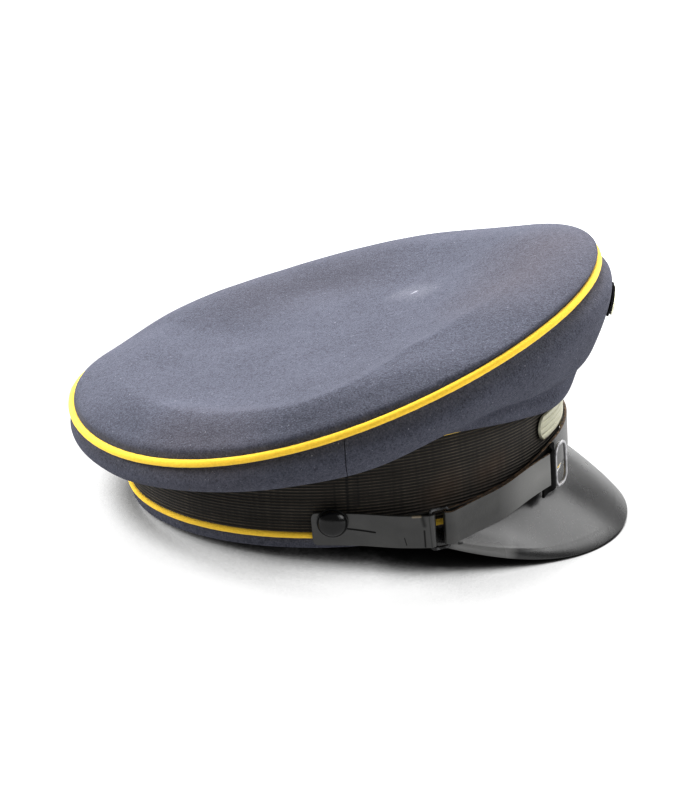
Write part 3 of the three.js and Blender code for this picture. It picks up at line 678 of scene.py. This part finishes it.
def ribbed_mohair(tree, where, uv):
    """Mohair braid with a fine cross weave: painted highlight, brown, on the ribs' crests and painted
    shade, near black, in the valleys between them.
    """
    height = add(tree, "SeparateXYZ", {0: uv}).outputs[1]
    turn = sum_up(tree, "MULTIPLY", height, 2 * math.pi / sizes().rib_pitch)
    crest = spread(tree, sum_up(tree, "COSINE", turn), -0.1, -0.95)
    upright = add(tree, "Mapping", {"Vector": uv, "Scale": (1, 0.06, 1)}).outputs[0]
    threads = grain(tree, upright, 1.6, 2)
    shine = sum_up(tree, "MULTIPLY", crest, threads)
    shine = spread(tree, sum_up(tree, "MULTIPLY", shine, grain(tree, uv, 14, 3)), end=0.4)
    # Lit and shaded copies of the ribbon colour: painted highlight on the crests, painted shade in the
    # valleys.
    base = mix(tree, shine, dye("ribbon", 0.08), "ribbon")
    shade(tree, Base_Color=marked(tree, base, uv, RIBBON_MARKS),
          Normal=relief(tree, threads, 0.3, 0.4), Roughness=0.6, Sheen_Weight=0.05,
          Specular_IOR_Level=0.3)


def lacquered_fibre(tree, where, uv):
    """Vulcanised fibre under black lacquer: a soft mirror with faint waves and fine dust; its near corner is
    scuffed and painted whitish as a highlight, with two small dark spots.
    """
    waves = grain(tree, where, 14, 2)
    dust = spread(tree, grain(tree, where, 0.9, 3), 0.62, 0.75, high=0.25)
    base = mix(tree, dust, "lacquer", "7c7c78")
    shade(tree, Base_Color=marked(tree, base, where, LACQUER_MARKS_AND_HIGHLIGHT),
          Normal=relief(tree, waves, 0.5, 0.25), Roughness=spread(tree, waves, low=0.22, high=0.34),
          IOR=1.75)


def raw_edge(tree, where, uv):
    """A cut edge that has lost its dye: rough and reddish brown."""
    fibres = spread(tree, grain(tree, where, 1.6, 4), 0.4, 0.7)
    shade(tree, Base_Color=mix(tree, fibres, "3a2c20", "raw_edge"), Roughness=0.75)


def strap_leather(tree, where, uv, marks):
    """Lacquered strap leather: dark grey-black and softly shining, slit and stitched where its marks say;
    a grey mark on the long strap is a painted highlight.
    """
    depth, shine = grain(tree, uv, 1.5, 4, 0.7), 0.5
    rubbed = add(tree, "Mapping", {"Vector": uv, "Scale": (0.7, 1, 1)}).outputs[0]
    rub = grain(tree, rubbed, 14, 4)
    base = mix(tree, spread(tree, rub, 0.35, 0.75), "strap", "3a3a38")
    for *line, code in marks:
        mark = stroke(tree, uv, *line)
        base = mix(tree, mark, base, code)
        if code == DARK_MARK:
            depth = sum_up(tree, "MULTIPLY_ADD", mark, -3.0, depth)
            shine = sum_up(tree, "MULTIPLY_ADD", mark, -0.55, shine)
    shade(tree, Base_Color=base, Normal=relief(tree, depth, 0.3, 0.35),
          Roughness=spread(tree, rub, low=0.26, high=0.38), IOR=1.75, Specular_IOR_Level=shine)


def enamel(tree, where, uv, worn):
    """Black stove enamel on steel, rubbed to grey where it is worn."""
    rub = spread(tree, grain(tree, where, 3, 3), 0.6 - 0.5 * worn, 0.85 - 0.4 * worn, high=worn)
    shade(tree, Base_Color=mix(tree, rub, "enamel", "worn_metal"), Metallic=0.3 * worn,
          Roughness=0.2 + 0.15 * worn)


def cast_badge(tree, where, uv):
    """Pale cast alloy, matt and slightly yellowed, in uneven patches."""
    cast = grain(tree, where, 1.2, 4)
    shade(tree, Base_Color=mix(tree, spread(tree, cast, 0.3, 0.6), "a8a692", "badge"),
          Normal=relief(tree, cast, 0.2, 0.3), Metallic=0.45, Roughness=0.42)


def plain_felt(tree, where, uv, tone):
    """Plain dark felt and lining board for places that hardly show, and folded strap leather made near
    black as painted shade behind the front frame.
    """
    base = mix(tree, grain(tree, where, 1.4, 3), dye(tone), dye(tone, 1.8))
    shade(tree, Base_Color=base, Roughness=0.9, Specular_IOR_Level=0.2)


def table_with_painted_shadow(tree, where, uv):
    """A glowing table: white in the open, its glow cut by ambient occlusion and by place as painted shadow
    under and beside the cap, and brighter towards the right and the back as painted light.
    """
    place = add(tree, "SeparateXYZ", {0: where}).outputs
    painted_openness = add(tree, "AmbientOcclusion", {"Distance": 0.15}, samples=16).outputs["AO"]
    # Painted shadow by place: lighter on the cap's left, darker on its right.
    for start, end, change in ((-0.03, -0.11, 0.1), (0.015, 0.055, -0.14)):
        painted_openness = sum_up(tree, "ADD", painted_openness, spread(tree, place[0], start, end, high=change))
    glow_with_painted_shadow = spread(tree, painted_openness, 0.27, 0.49, high=0.97)
    # Painted pools of light on the open floor, towards the right and the back.
    for way, start, end, most in ((0, 0.14, 0.3, 1.5), (1, 0.2, 0.5, 1.8)):
        glow_with_painted_shadow = sum_up(tree, "MULTIPLY", glow_with_painted_shadow, spread(tree, place[way], start, end, 1, most))
    shade(tree, Base_Color=dye("464646"), Roughness=0.9, Specular_IOR_Level=0.1,
          Emission_Color=(1, 1, 1, 1), Emission_Strength=glow_with_painted_shadow)


MATERIALS = {
    "wool": ("Napped wool cloth", napped_wool),
    "piping": ("Dyed felt piping", felt_piping),
    "ribbon": ("Ribbed mohair braid", ribbed_mohair),
    "lacquer": ("Lacquered vulcanised fibre", lacquered_fibre),
    "fibre_edge": ("Raw fibre edge", raw_edge),
    "strap_short": ("Lacquered strap leather, stitched", strap_leather, SHORT_STRAP_MARKS),
    "strap_long": ("Lacquered strap leather", strap_leather, LONG_STRAP_MARKS_AND_HIGHLIGHT),
    "strap_fold_shade": ("Black folded leather", plain_felt, "060606"),
    "leather_edge": ("Raw leather edge", raw_edge),
    "button": ("Black button enamel", enamel, 0.0),
    "side_frame": ("Worn frame enamel", enamel, 0.35),
    "front_frame": ("Bare frame metal", enamel, 0.9),
    "badge": ("Matt cast alloy", cast_badge),
    "backing": ("Dark backing felt", plain_felt, "backing"),
    "underside": ("Visor lining", plain_felt, "1e2420"),
    "lining": ("Band stiffener", plain_felt, "2a2724"),
    "floor": ("Opal acrylic table, lit from below", table_with_painted_shadow),
}


def clothe(piece, *names):
    """Gives a piece its materials by name, made on first use."""
    for name in names:
        label, shader, *details = MATERIALS[name]
        made = bpy.data.materials.get(label)
        if not made:
            made = bpy.data.materials.new(label)
            made.use_nodes = True
            made.node_tree.nodes.clear()
            place = add(made.node_tree, "TexCoord").outputs
            shader(made.node_tree, place["Object"], place["UV"], *details)
        piece.data.materials.append(made)


# --- Operators ---


class CAP_OT_crown_top(bpy.types.Operator):
    """Builds the oval top of the crown"""
    bl_idname = "cap.crown_top"
    bl_label = "Crown top"

    def execute(self, context):
        s = sizes()
        start = 0.95  # share of the sheet where its edge begins to turn in over the piping

        def place(u, v):
            at = 360 * u
            share = 1 - (1 - np.minimum(v / start, 1)) ** 2.2
            point = top_place(at, share)
            tuck = ramp(v, start, 1)
            point -= rim_outward(at) * np.interp(tuck, [0, 0.5, 1], [0, 0.8, 1.0])[:, None] * MM
            point[:, 2] -= np.interp(tuck, [0, 0.5, 1], [0, 0.9, 2.2]) * MM
            uneven = ripple(point, 0.05, 1.1 * MM) + ripple(point, 0.016, 0.3 * MM)
            point[:, 2] += uneven * (1 - share**8)
            return point
        piece = surface("crown_top_cloth", 240, 88, place)
        wall(piece, (0, 0, 0.02), s.cloth, "wool", "lining")
        finish_piece(piece, "crown_top")
        return {"FINISHED"}


class CAP_OT_crown_side(bpy.types.Operator):
    """Builds the two panels of the crown's side"""
    bl_idname = "cap.crown_side"
    bl_label = "Crown side"

    def execute(self, context):
        s = sizes()
        seam = math.degrees(s.seam_angle)
        slack = math.degrees(s.gap / 2 / s.rim_half_width)
        for panel, middle, reach, height in (
            ("crown_side_front", 0, seam - slack, 78),
            ("crown_side_rear", 180, 180 - seam - slack, 50),
        ):
            def place(u, v):
                at = middle + reach * (2 * u - 1)
                row = 6 * v
                line = spline(side_controls(at), row)
                point = side_point(at, line[:, 0], line[:, 1])
                swell = ripple(point, 0.03, 0.9 * MM) * np.sin(np.pi * v) ** 0.5
                return point + unit(point * (1, 1, 0)) * (swell - fold(at, row))[:, None]
            piece = surface(panel + "_cloth", int(1.6 * reach), 120, place)
            wall(piece, (0, 0, 0.05), s.cloth, "wool", "lining")
            finish_piece(piece, panel)
        return {"FINISHED"}


class CAP_OT_piping(bpy.types.Operator):
    """Builds the crown's piping and the two pipings of the band"""
    bl_idname = "cap.piping"
    bl_label = "Piping"

    def execute(self, context):
        s = sizes()

        def rim(at):
            centre = rim_plan(at)
            centre[:, 2] = rim_height(at)
            return centre, rim_outward(at)
        cord("crown_piping", s.rim_piping + 0.2 * MM, 14, 400, rim)

        lower = s.welt_height + s.gap + s.lower_piping
        upper = crown_foot() - s.gap - s.upper_piping
        for name, radius, z in (("band_bottom_piping", s.lower_piping + 0.25 * MM, lower),
                                ("band_top_piping", s.upper_piping + 0.1 * MM, upper)):
            cord(name, radius, 12, 300,
                 lambda at: (band_point(at, SEAM_OFFSET * MM, z), band_normal(at)))
        return {"FINISHED"}


class CAP_OT_band(bpy.types.Operator):
    """Builds the ribbed band and the wool welt under it"""
    bl_idname = "cap.band"
    bl_label = "Band and welt"

    def execute(self, context):
        s = sizes()
        low = s.welt_height + 2 * s.lower_piping + 2 * s.gap
        tucked = 0.6 * MM
        span = s.ribbon_height + 2 * tucked
        outside = 0.94  # share of the sheet that shows; the rest is its back

        def ribs(u, v):
            height = np.interp(v, [0, outside, 0.96, 1], [0, 1, 1, 0]) * span - tucked
            inside = np.interp(v, [0, outside, 0.96, 0.98, 1], [0, 0, 1, 1, 0])
            rib = 1 - np.abs(np.cos(np.pi * (height + tucked) / s.rib_pitch)) ** 0.6
            edge = np.clip(np.minimum(height, s.ribbon_height - height) / tucked, -1, 1)
            out = (0.42 * rib - 0.2) * MM * np.maximum(edge, 0) + 0.3 * MM * np.minimum(edge, 0)
            return band_point(360 * u, out * (1 - inside) - s.band_wall * inside, low + height)
        turn = 2 * math.pi * math.sqrt((s.band_half_length**2 + s.band_half_width**2) / 2)
        band = surface("ribbed_band", 200, 204, ribs, (turn, span / outside), closed=True)
        clothe(band, "ribbon")
        finish_piece(band, "band")

        half_wall, half_height = s.band_wall / 2, (s.welt_height + 0.5 * MM) / 2

        def strip(u, v):
            c, d = np.cos(2 * np.pi * v), np.sin(2 * np.pi * v)
            out = np.sign(c) * np.abs(c) ** 0.5 * half_wall
            z = np.sign(d) * np.abs(d) ** 0.35 * half_height
            return band_point(360 * u, out - half_wall, z + half_height)
        welt = surface("wool_welt", 240, 28, strip, closed=True)
        clothe(welt, "wool")
        finish_piece(welt, "base_welt")
        return {"FINISHED"}


class CAP_OT_visor(bpy.types.Operator):
    """Builds the lacquered visor with its pressed line and raw edge"""
    bl_idname = "cap.visor"
    bl_label = "Visor"

    def execute(self, context):
        s = sizes()
        half = math.degrees(s.visor_angle)
        glide = np.array([math.cos(s.visor_slope), 0, -math.sin(s.visor_slope)])
        flange_width, root_height = 8.5 * MM, 3.2 * MM

        def place(u, v):
            at = 0.985 * half * (2 * u - 1)
            t = np.radians(at)
            along = np.stack([-s.band_half_length * np.sin(t), s.band_half_width * np.cos(t), 0 * t], -1)
            up = unit(np.cross(glide, along))
            corner = (np.abs(at) / half) ** 3.97
            reach = s.visor_length * (1 - corner)
            lift = s.visor_thickness * np.sum(up * band_normal(at), -1) * corner
            root = band_point(at, s.gap + lift, root_height)
            arch = 1.2 * MM * 4 * v * (1 - v) * (1 - corner)
            edge = (1 - v) * reach
            pressed = 0.05 * MM * bell(edge, flange_width, 0.9 * MM) * ramp(reach, 15 * MM, 30 * MM)
            flange = ramp(edge, flange_width, 0) ** 2 * v
            drop = (0.2 + 0.5 * ramp(np.abs(at), 15, 45)) * MM * flange
            return root + glide * (v * reach)[:, None] + up * (arch + pressed - drop)[:, None]
        piece = surface("lacquered_visor", 170, 72, place)
        wall(piece, (0.05, 0, -0.2), s.visor_thickness, "lacquer", "underside", "fibre_edge", rim=2)
        bevel(piece, 0.3, 2)
        finish_piece(piece, "visor")
        return {"FINISHED"}


def strap_height(at):
    return column(STRAP, "height", at)


def strap_out(at):
    """The distance from the band to the middle of the strap's innermost layer."""
    return column(STRAP, "stand_off", at) + sizes().strap_thickness / 2


def strap_middle(at, extra=0.0):
    """A point of the strap's middle line, some way out from its innermost layer."""
    return band_point(at, strap_out(at) + extra, strap_height(at))


def wrap():
    """Distance from a frame's bar to the middle of the strap round it."""
    s = sizes()
    return 0.72 * s.frame_wire + s.strap_thickness / 2 + s.gap


def frame_out(shape):
    """How far a frame's bars lie from the band, on the strap layers under it."""
    s = sizes()
    return strap_out(shape["at"]) + shape["layers"] * (s.strap_thickness + s.gap) + wrap()


def bar_off(shape):
    """From a frame's middle to the middle of its bars."""
    return (shape["width"] * MM - sizes().frame_wire) / 2


def beside(shape, side):
    """The angle of a frame's bar: -1 for the one behind, 1 for the one in front."""
    out = frame_out(shape)
    step = band_point(shape["at"] + 0.5, out) - band_point(shape["at"] - 0.5, out)
    return shape["at"] + side * bar_off(shape) / np.linalg.norm(step)


def bar_turn(shape, side, start):
    """Half a turn of the strap round a frame's bar, from inside (-1) or outside (1)."""
    centre, round_line, _, outward = seat(shape["at"], frame_out(shape), strap_height(beside(shape, side)))
    turns = np.radians(np.linspace(0, 180, 9))[:, None]
    return (centre + round_line * side * bar_off(shape)
            + wrap() * (start * np.cos(turns) * outward - side * np.sin(turns) * round_line))


def ribbon(name, lines, width, faces, round_end=0.0):
    """A strap on edge along lines of points, with its first end rounded over a length."""
    s = sizes()
    points = np.concatenate(lines)
    along = travelled(points)
    total = along[-1]
    fine = np.linspace(0, total, int(total / (0.6 * MM)))

    def between(x, known, values):
        return np.stack([np.interp(x, known, values[:, k]) for k in range(3)], -1)
    line = between(fine, along, points)
    for _ in range(3):
        line[1:-1] = (line[:-2] + 2 * line[1:-1] + line[2:]) / 4
    heading = np.gradient(line, axis=0)
    across = unit(np.stack([heading[:, 1], -heading[:, 0], 0 * heading[:, 0]], -1))

    def place(u, v):
        share = np.clip((u * total + 0.2 * MM) / max(round_end, 1e-6), 0, 1)
        wide = width * np.clip(1 - (1 - share) ** 4, 0.01, 1) ** 0.25
        return between(u * total, fine, line) + ((v - 0.5) * wide)[:, None] * (0, 0, 1)
    piece = surface(name, len(fine), 26, place, (total, s.strap_width))
    clothe(piece, *faces)
    thicken(piece, s.strap_thickness, offset=0, rim=1)
    bevel(piece, 0.22, 2)
    return piece


class CAP_OT_chin_strap(bpy.types.Operator):
    """Builds the two pieces of the chin strap"""
    bl_idname = "cap.chin_strap"
    bl_label = "Chin strap"

    def execute(self, context):
        s = sizes()
        layer, round_end = s.strap_thickness + s.gap, 3.5 * MM
        side, front = FRAMES["side"], FRAMES["front"]
        near, far, tongue = beside(side, -1), beside(side, 1), beside(front, -1)

        def past(shape, at, way):
            """How far out the strap passes a frame's bar: -1 inside it, 1 outside it."""
            return frame_out(shape) + way * wrap() - strap_out(at)

        run = np.linspace(-95.2, near - 0.6, 60)
        out = strap_middle(run, past(side, near, 1) * ramp(run, -90, near) ** 2)
        back = np.linspace(near - 1, near - 5, 5)
        short = ribbon("strap_right_part",
                       [out, bar_turn(side, -1, 1), strap_middle(back, past(side, near, -1))],
                       s.strap_width, ("strap_short", "strap_short"), round_end)
        finish_piece(short, "strap_short")

        run = np.linspace(far + 1, tongue - 5, 60)
        share = np.linspace(0, 1, 60)
        lift = (layer + 0.1 * MM + (past(side, far, 1) - layer) * ramp(share, 0.25, 0) ** 2
                + (past(front, tongue, 1) - layer) * ramp(share, 2 / 3, 1) ** 2)
        outer = strap_middle(run, lift)
        outer[:, 2] += 1.2 * MM * ramp(share, 0.5, 1)
        long = ribbon("strap_left_part",
                      [strap_middle(np.linspace(96, far + 0.6, 260)), bar_turn(side, 1, -1), outer],
                      s.strap_width, ("strap_long", "leather_edge"), round_end)

        # The strap's end under the front frame, drawn wider than the strap and near black as painted shade.
        off = np.linspace(-7.5, 1.4, 30)
        over, below = (past(front, tongue, way) + 0.1 * MM for way in (1, -1))
        end = strap_middle(
            tongue + off, np.interp(off, [-5.2, -4.4, -2.4, -1], [over - layer, over, over, below]))
        end[:, 2] += np.interp(off, [-7.5, -4.4], [-1.9, -1.0]) * MM
        folded = ribbon("strap_tongue", [end], 18.6 * MM, ("strap_fold_shade", "strap_fold_shade"))
        pick(long)
        folded.select_set(True)
        bpy.ops.object.join()
        finish_piece(long, "strap_long")
        return {"FINISHED"}


class CAP_OT_frames(bpy.types.Operator):
    """Builds the two flat wire frames on the strap"""
    bl_idname = "cap.frames"
    bl_label = "Frames"

    def execute(self, context):
        wire = sizes().frame_wire
        for name, shape in FRAMES.items():
            deselect()
            bpy.ops.mesh.primitive_plane_add(size=1, enter_editmode=True)
            select_mesh()
            bpy.ops.transform.resize(value=(shape["width"] * MM, shape["height"] * MM, 1))
            bpy.ops.mesh.bevel(offset=shape["corner"] * MM, segments=10, affect="VERTICES")
            select_mesh()
            bpy.ops.mesh.inset(thickness=wire, use_even_offset=True)
            bpy.ops.mesh.delete(type="FACE")
            select_mesh()
            bpy.ops.mesh.extrude_region_move(TRANSFORM_OT_translate={"value": (0, 0, wire)})
            face_out()
            bpy.ops.transform.translate(value=(0, 0, -wire / 2))
            piece = made_as(name + "_strap_frame")
            bevel(piece, 0.4, 3)
            height = strap_height(shape["at"]) - shape["lower"] * MM
            stand(piece, seat(shape["at"], frame_out(shape), height))
            clothe(piece, name + "_frame")
            finish_piece(piece, name + "_frame")
        return {"FINISHED"}


class CAP_OT_buttons(bpy.types.Operator):
    """Builds the two domed buttons"""
    bl_idname = "cap.buttons"
    bl_label = "Buttons"

    def execute(self, context):
        s = sizes()
        for name, at in (("button_right", -90), ("button_left", 90)):
            back = strap_out(at) + s.strap_thickness / 2 + 2 * s.gap
            radius = s.button_radius / MM
            shank, foot, dome = 1.5, -(back - s.gap) / MM, radius - 0.65
            profile = [(shank, foot), (shank, 0), (radius - 0.5, 0), (radius - 0.1, 0.2), (radius, 0.5),
                       (radius - 0.1, 0.85), (radius - 0.35, 1.0), (radius - 0.55, 0.92)]
            profile += [(dome * math.cos(t), 0.95 + 3.4 * math.sin(t))
                        for t in np.radians(np.linspace(4, 86, 14))]
            piece = turned(name + "_dome", profile, seat(at, back, BUTTON_HEIGHT * MM))
            clothe(piece, "button")
            finish_piece(piece, name)
        return {"FINISHED"}


class CAP_OT_band_badge(bpy.types.Operator):
    """Builds the reeded bar with its plain border on the band's front"""
    bl_idname = "cap.band_badge"
    bl_label = "Band badge"

    def execute(self, context):
        s = sizes()
        turns = np.arange(0, 60.25, 0.25)
        arc = travelled(band_point(turns)) / MM

        def place(u, v):
            reach = BAR["reach"] - BAR["end"] * (1 - np.sqrt(1 - (0.99 * (2 * v - 1)) ** 2))
            run = reach * (2 * u - 1)
            at = np.sign(run) * np.interp(np.abs(run), arc, turns)
            inside = np.minimum(reach - np.abs(run), np.minimum(v, 1 - v) * BAR["height"])
            border = ramp(inside, 1.5, 1)
            reed = np.abs(np.sin(BAR["reeds"] * np.pi * v)) ** 0.6
            rise = border * 1.1 + (1 - border) * (0.4 + 0.8 * reed)
            out = s.gap + (0.7 + rise * np.sqrt(ramp(inside, 0, 0.6))) * MM
            return band_point(at, out, (BAR["lower"] + BAR["height"] * v) * MM)
        bar = surface("reeded_band_badge", 200, 72, place)
        wall(bar, (0, 0, 0.03), 0.6 * MM, "badge")
        finish_piece(bar, "band_badge")
        return {"FINISHED"}


class CAP_OT_crown_badge(bpy.types.Operator):
    """Builds the lozenge and its dark backing on the crown"""
    bl_idname = "cap.crown_badge"
    bl_label = "Crown badge"

    def execute(self, context):
        s = sizes()
        rows = np.linspace(0, 6, 600)
        line = spline(np.repeat(side_controls(np.zeros(1)), 600, 0), rows)
        lengths = travelled(line)
        past_hem = lengths > 20 * MM
        start = np.argmax((line[:, 1] > CREST_HEIGHT * MM) & past_hem)
        step = np.linalg.norm(band_point(1.0) - band_point(0.0)) * (1 + line[start, 0] / s.band_half_width)
        for name, node, wide, high, low, top, finish, slot in (
            ("lozenge_backing", "crown_badge_backing", 18.6, 8.1, 0.3, 1.0, "backing", "backing"),
            ("lozenge_badge", "crown_badge", 17, 6.5, 1.3, 2.4, "badge", "badge_metal"),
        ):
            def place(u, v):
                t = 2 * np.pi * u
                rings = [0, 0.35, 0.45, 0.6, 0.85, 1]
                size = np.interp(v, rings, [0, 1, 1, 0.86, 0.5, 0]) * MM
                size /= (np.abs(np.cos(t)) + np.abs(np.sin(t))) ** 0.7
                off = (low + (top - low) * np.interp(v, rings, [0, 0, 0.55, 0.7, 0.95, 1])) * MM
                at = wide * size * np.cos(t) / step
                row = np.interp(lengths[start] + high * size * np.sin(t), lengths, rows)
                controls = side_controls(at)
                here, ahead = spline(controls, row), spline(controls, row + 0.01)
                along = unit(ahead - here)
                return side_point(at, here[:, 0] + off * along[:, 1], here[:, 1] - off * along[:, 0])
            piece = surface(name, 96, 30, place, closed=True)
            clothe(piece, finish)
            finish_piece(piece, node, smooth=25)
        return {"FINISHED"}


class CAP_OT_stage(bpy.types.Operator):
    """Sets the pale floor, the soft studio light and the camera"""
    bl_idname = "cap.stage"
    bl_label = "Stage"

    def execute(self, context):
        scene = context.scene
        deselect()
        bpy.ops.mesh.primitive_plane_add(size=12)
        floor = context.active_object
        floor.name = "floor"
        clothe(floor, "floor")

        world = scene.world = bpy.data.worlds.new("Studio")
        world.use_nodes = True
        sky = world.node_tree.nodes["Background"].inputs
        sky["Color"].default_value, sky["Strength"].default_value = (1, 1, 1, 1), 0.24
        for name, spot, aim, size, watts in LIGHTS:
            light = bpy.data.lights.new(name, "AREA")
            light.shape = "RECTANGLE"
            light.size, light.size_y = size
            light.energy = watts
            lamp = bpy.data.objects.new(name, light)
            lamp.location = spot
            lamp.rotation_euler = (Vector(aim) - Vector(spot)).to_track_quat("-Z", "Y").to_euler()
            scene.collection.objects.link(lamp)

        azimuth, elevation, roll = (math.radians(CAMERA[key]) for key in ("azimuth", "elevation", "roll"))
        right = Vector((math.cos(azimuth), math.sin(azimuth), 0))
        back = math.cos(elevation) * Vector((right.y, -right.x, math.tan(elevation)))
        side = math.cos(roll) * right + math.sin(roll) * back.cross(right)
        camera = bpy.data.objects.new("camera", bpy.data.cameras.new("camera"))
        camera.data.lens, camera.data.sensor_width = CAMERA["lens"], CAMERA["sensor"]
        camera.matrix_world = Matrix.Translation(
            Vector(CAMERA["target"]) + back * CAMERA["distance"]
        ) @ Matrix((side, back.cross(side), back)).transposed().to_4x4()
        scene.collection.objects.link(camera)
        scene.camera = camera
        scene.view_settings.view_transform = "Standard"
        scene.view_settings.gamma = 0.8
        return {"FINISHED"}


class CAP_PT_panel(bpy.types.Panel):
    """Lists the cap's pieces, sizes and colours"""
    bl_idname = "CAP_PT_panel"
    bl_label = "Visor Cap"
    bl_space_type = "VIEW_3D"
    bl_region_type = "UI"
    bl_category = "Visor Cap"

    def draw(self, context):
        for operator in OPERATORS:
            self.layout.operator(operator.bl_idname)
        for group in (sizes(), colours()):
            for name in group.__annotations__:
                self.layout.prop(group, name)


OPERATORS = (
    CAP_OT_crown_top, CAP_OT_crown_side, CAP_OT_piping, CAP_OT_band, CAP_OT_visor, CAP_OT_chin_strap,
    CAP_OT_frames, CAP_OT_buttons, CAP_OT_band_badge, CAP_OT_crown_badge, CAP_OT_stage,
)
CLASSES = (CapSizes, CapColours, *OPERATORS, CAP_PT_panel)


def register():
    for item in CLASSES:
        bpy.utils.register_class(item)
    bpy.types.Scene.cap_sizes = bpy.props.PointerProperty(type=CapSizes)
    bpy.types.Scene.cap_colours = bpy.props.PointerProperty(type=CapColours)


def unregister():
    del bpy.types.Scene.cap_colours
    del bpy.types.Scene.cap_sizes
    for item in reversed(CLASSES):
        bpy.utils.unregister_class(item)


def main():
    register()
    for operator in OPERATORS:
        group, name = operator.bl_idname.split(".")
        getattr(getattr(bpy.ops, group), name)()


if __name__ == "__main__":
    main()
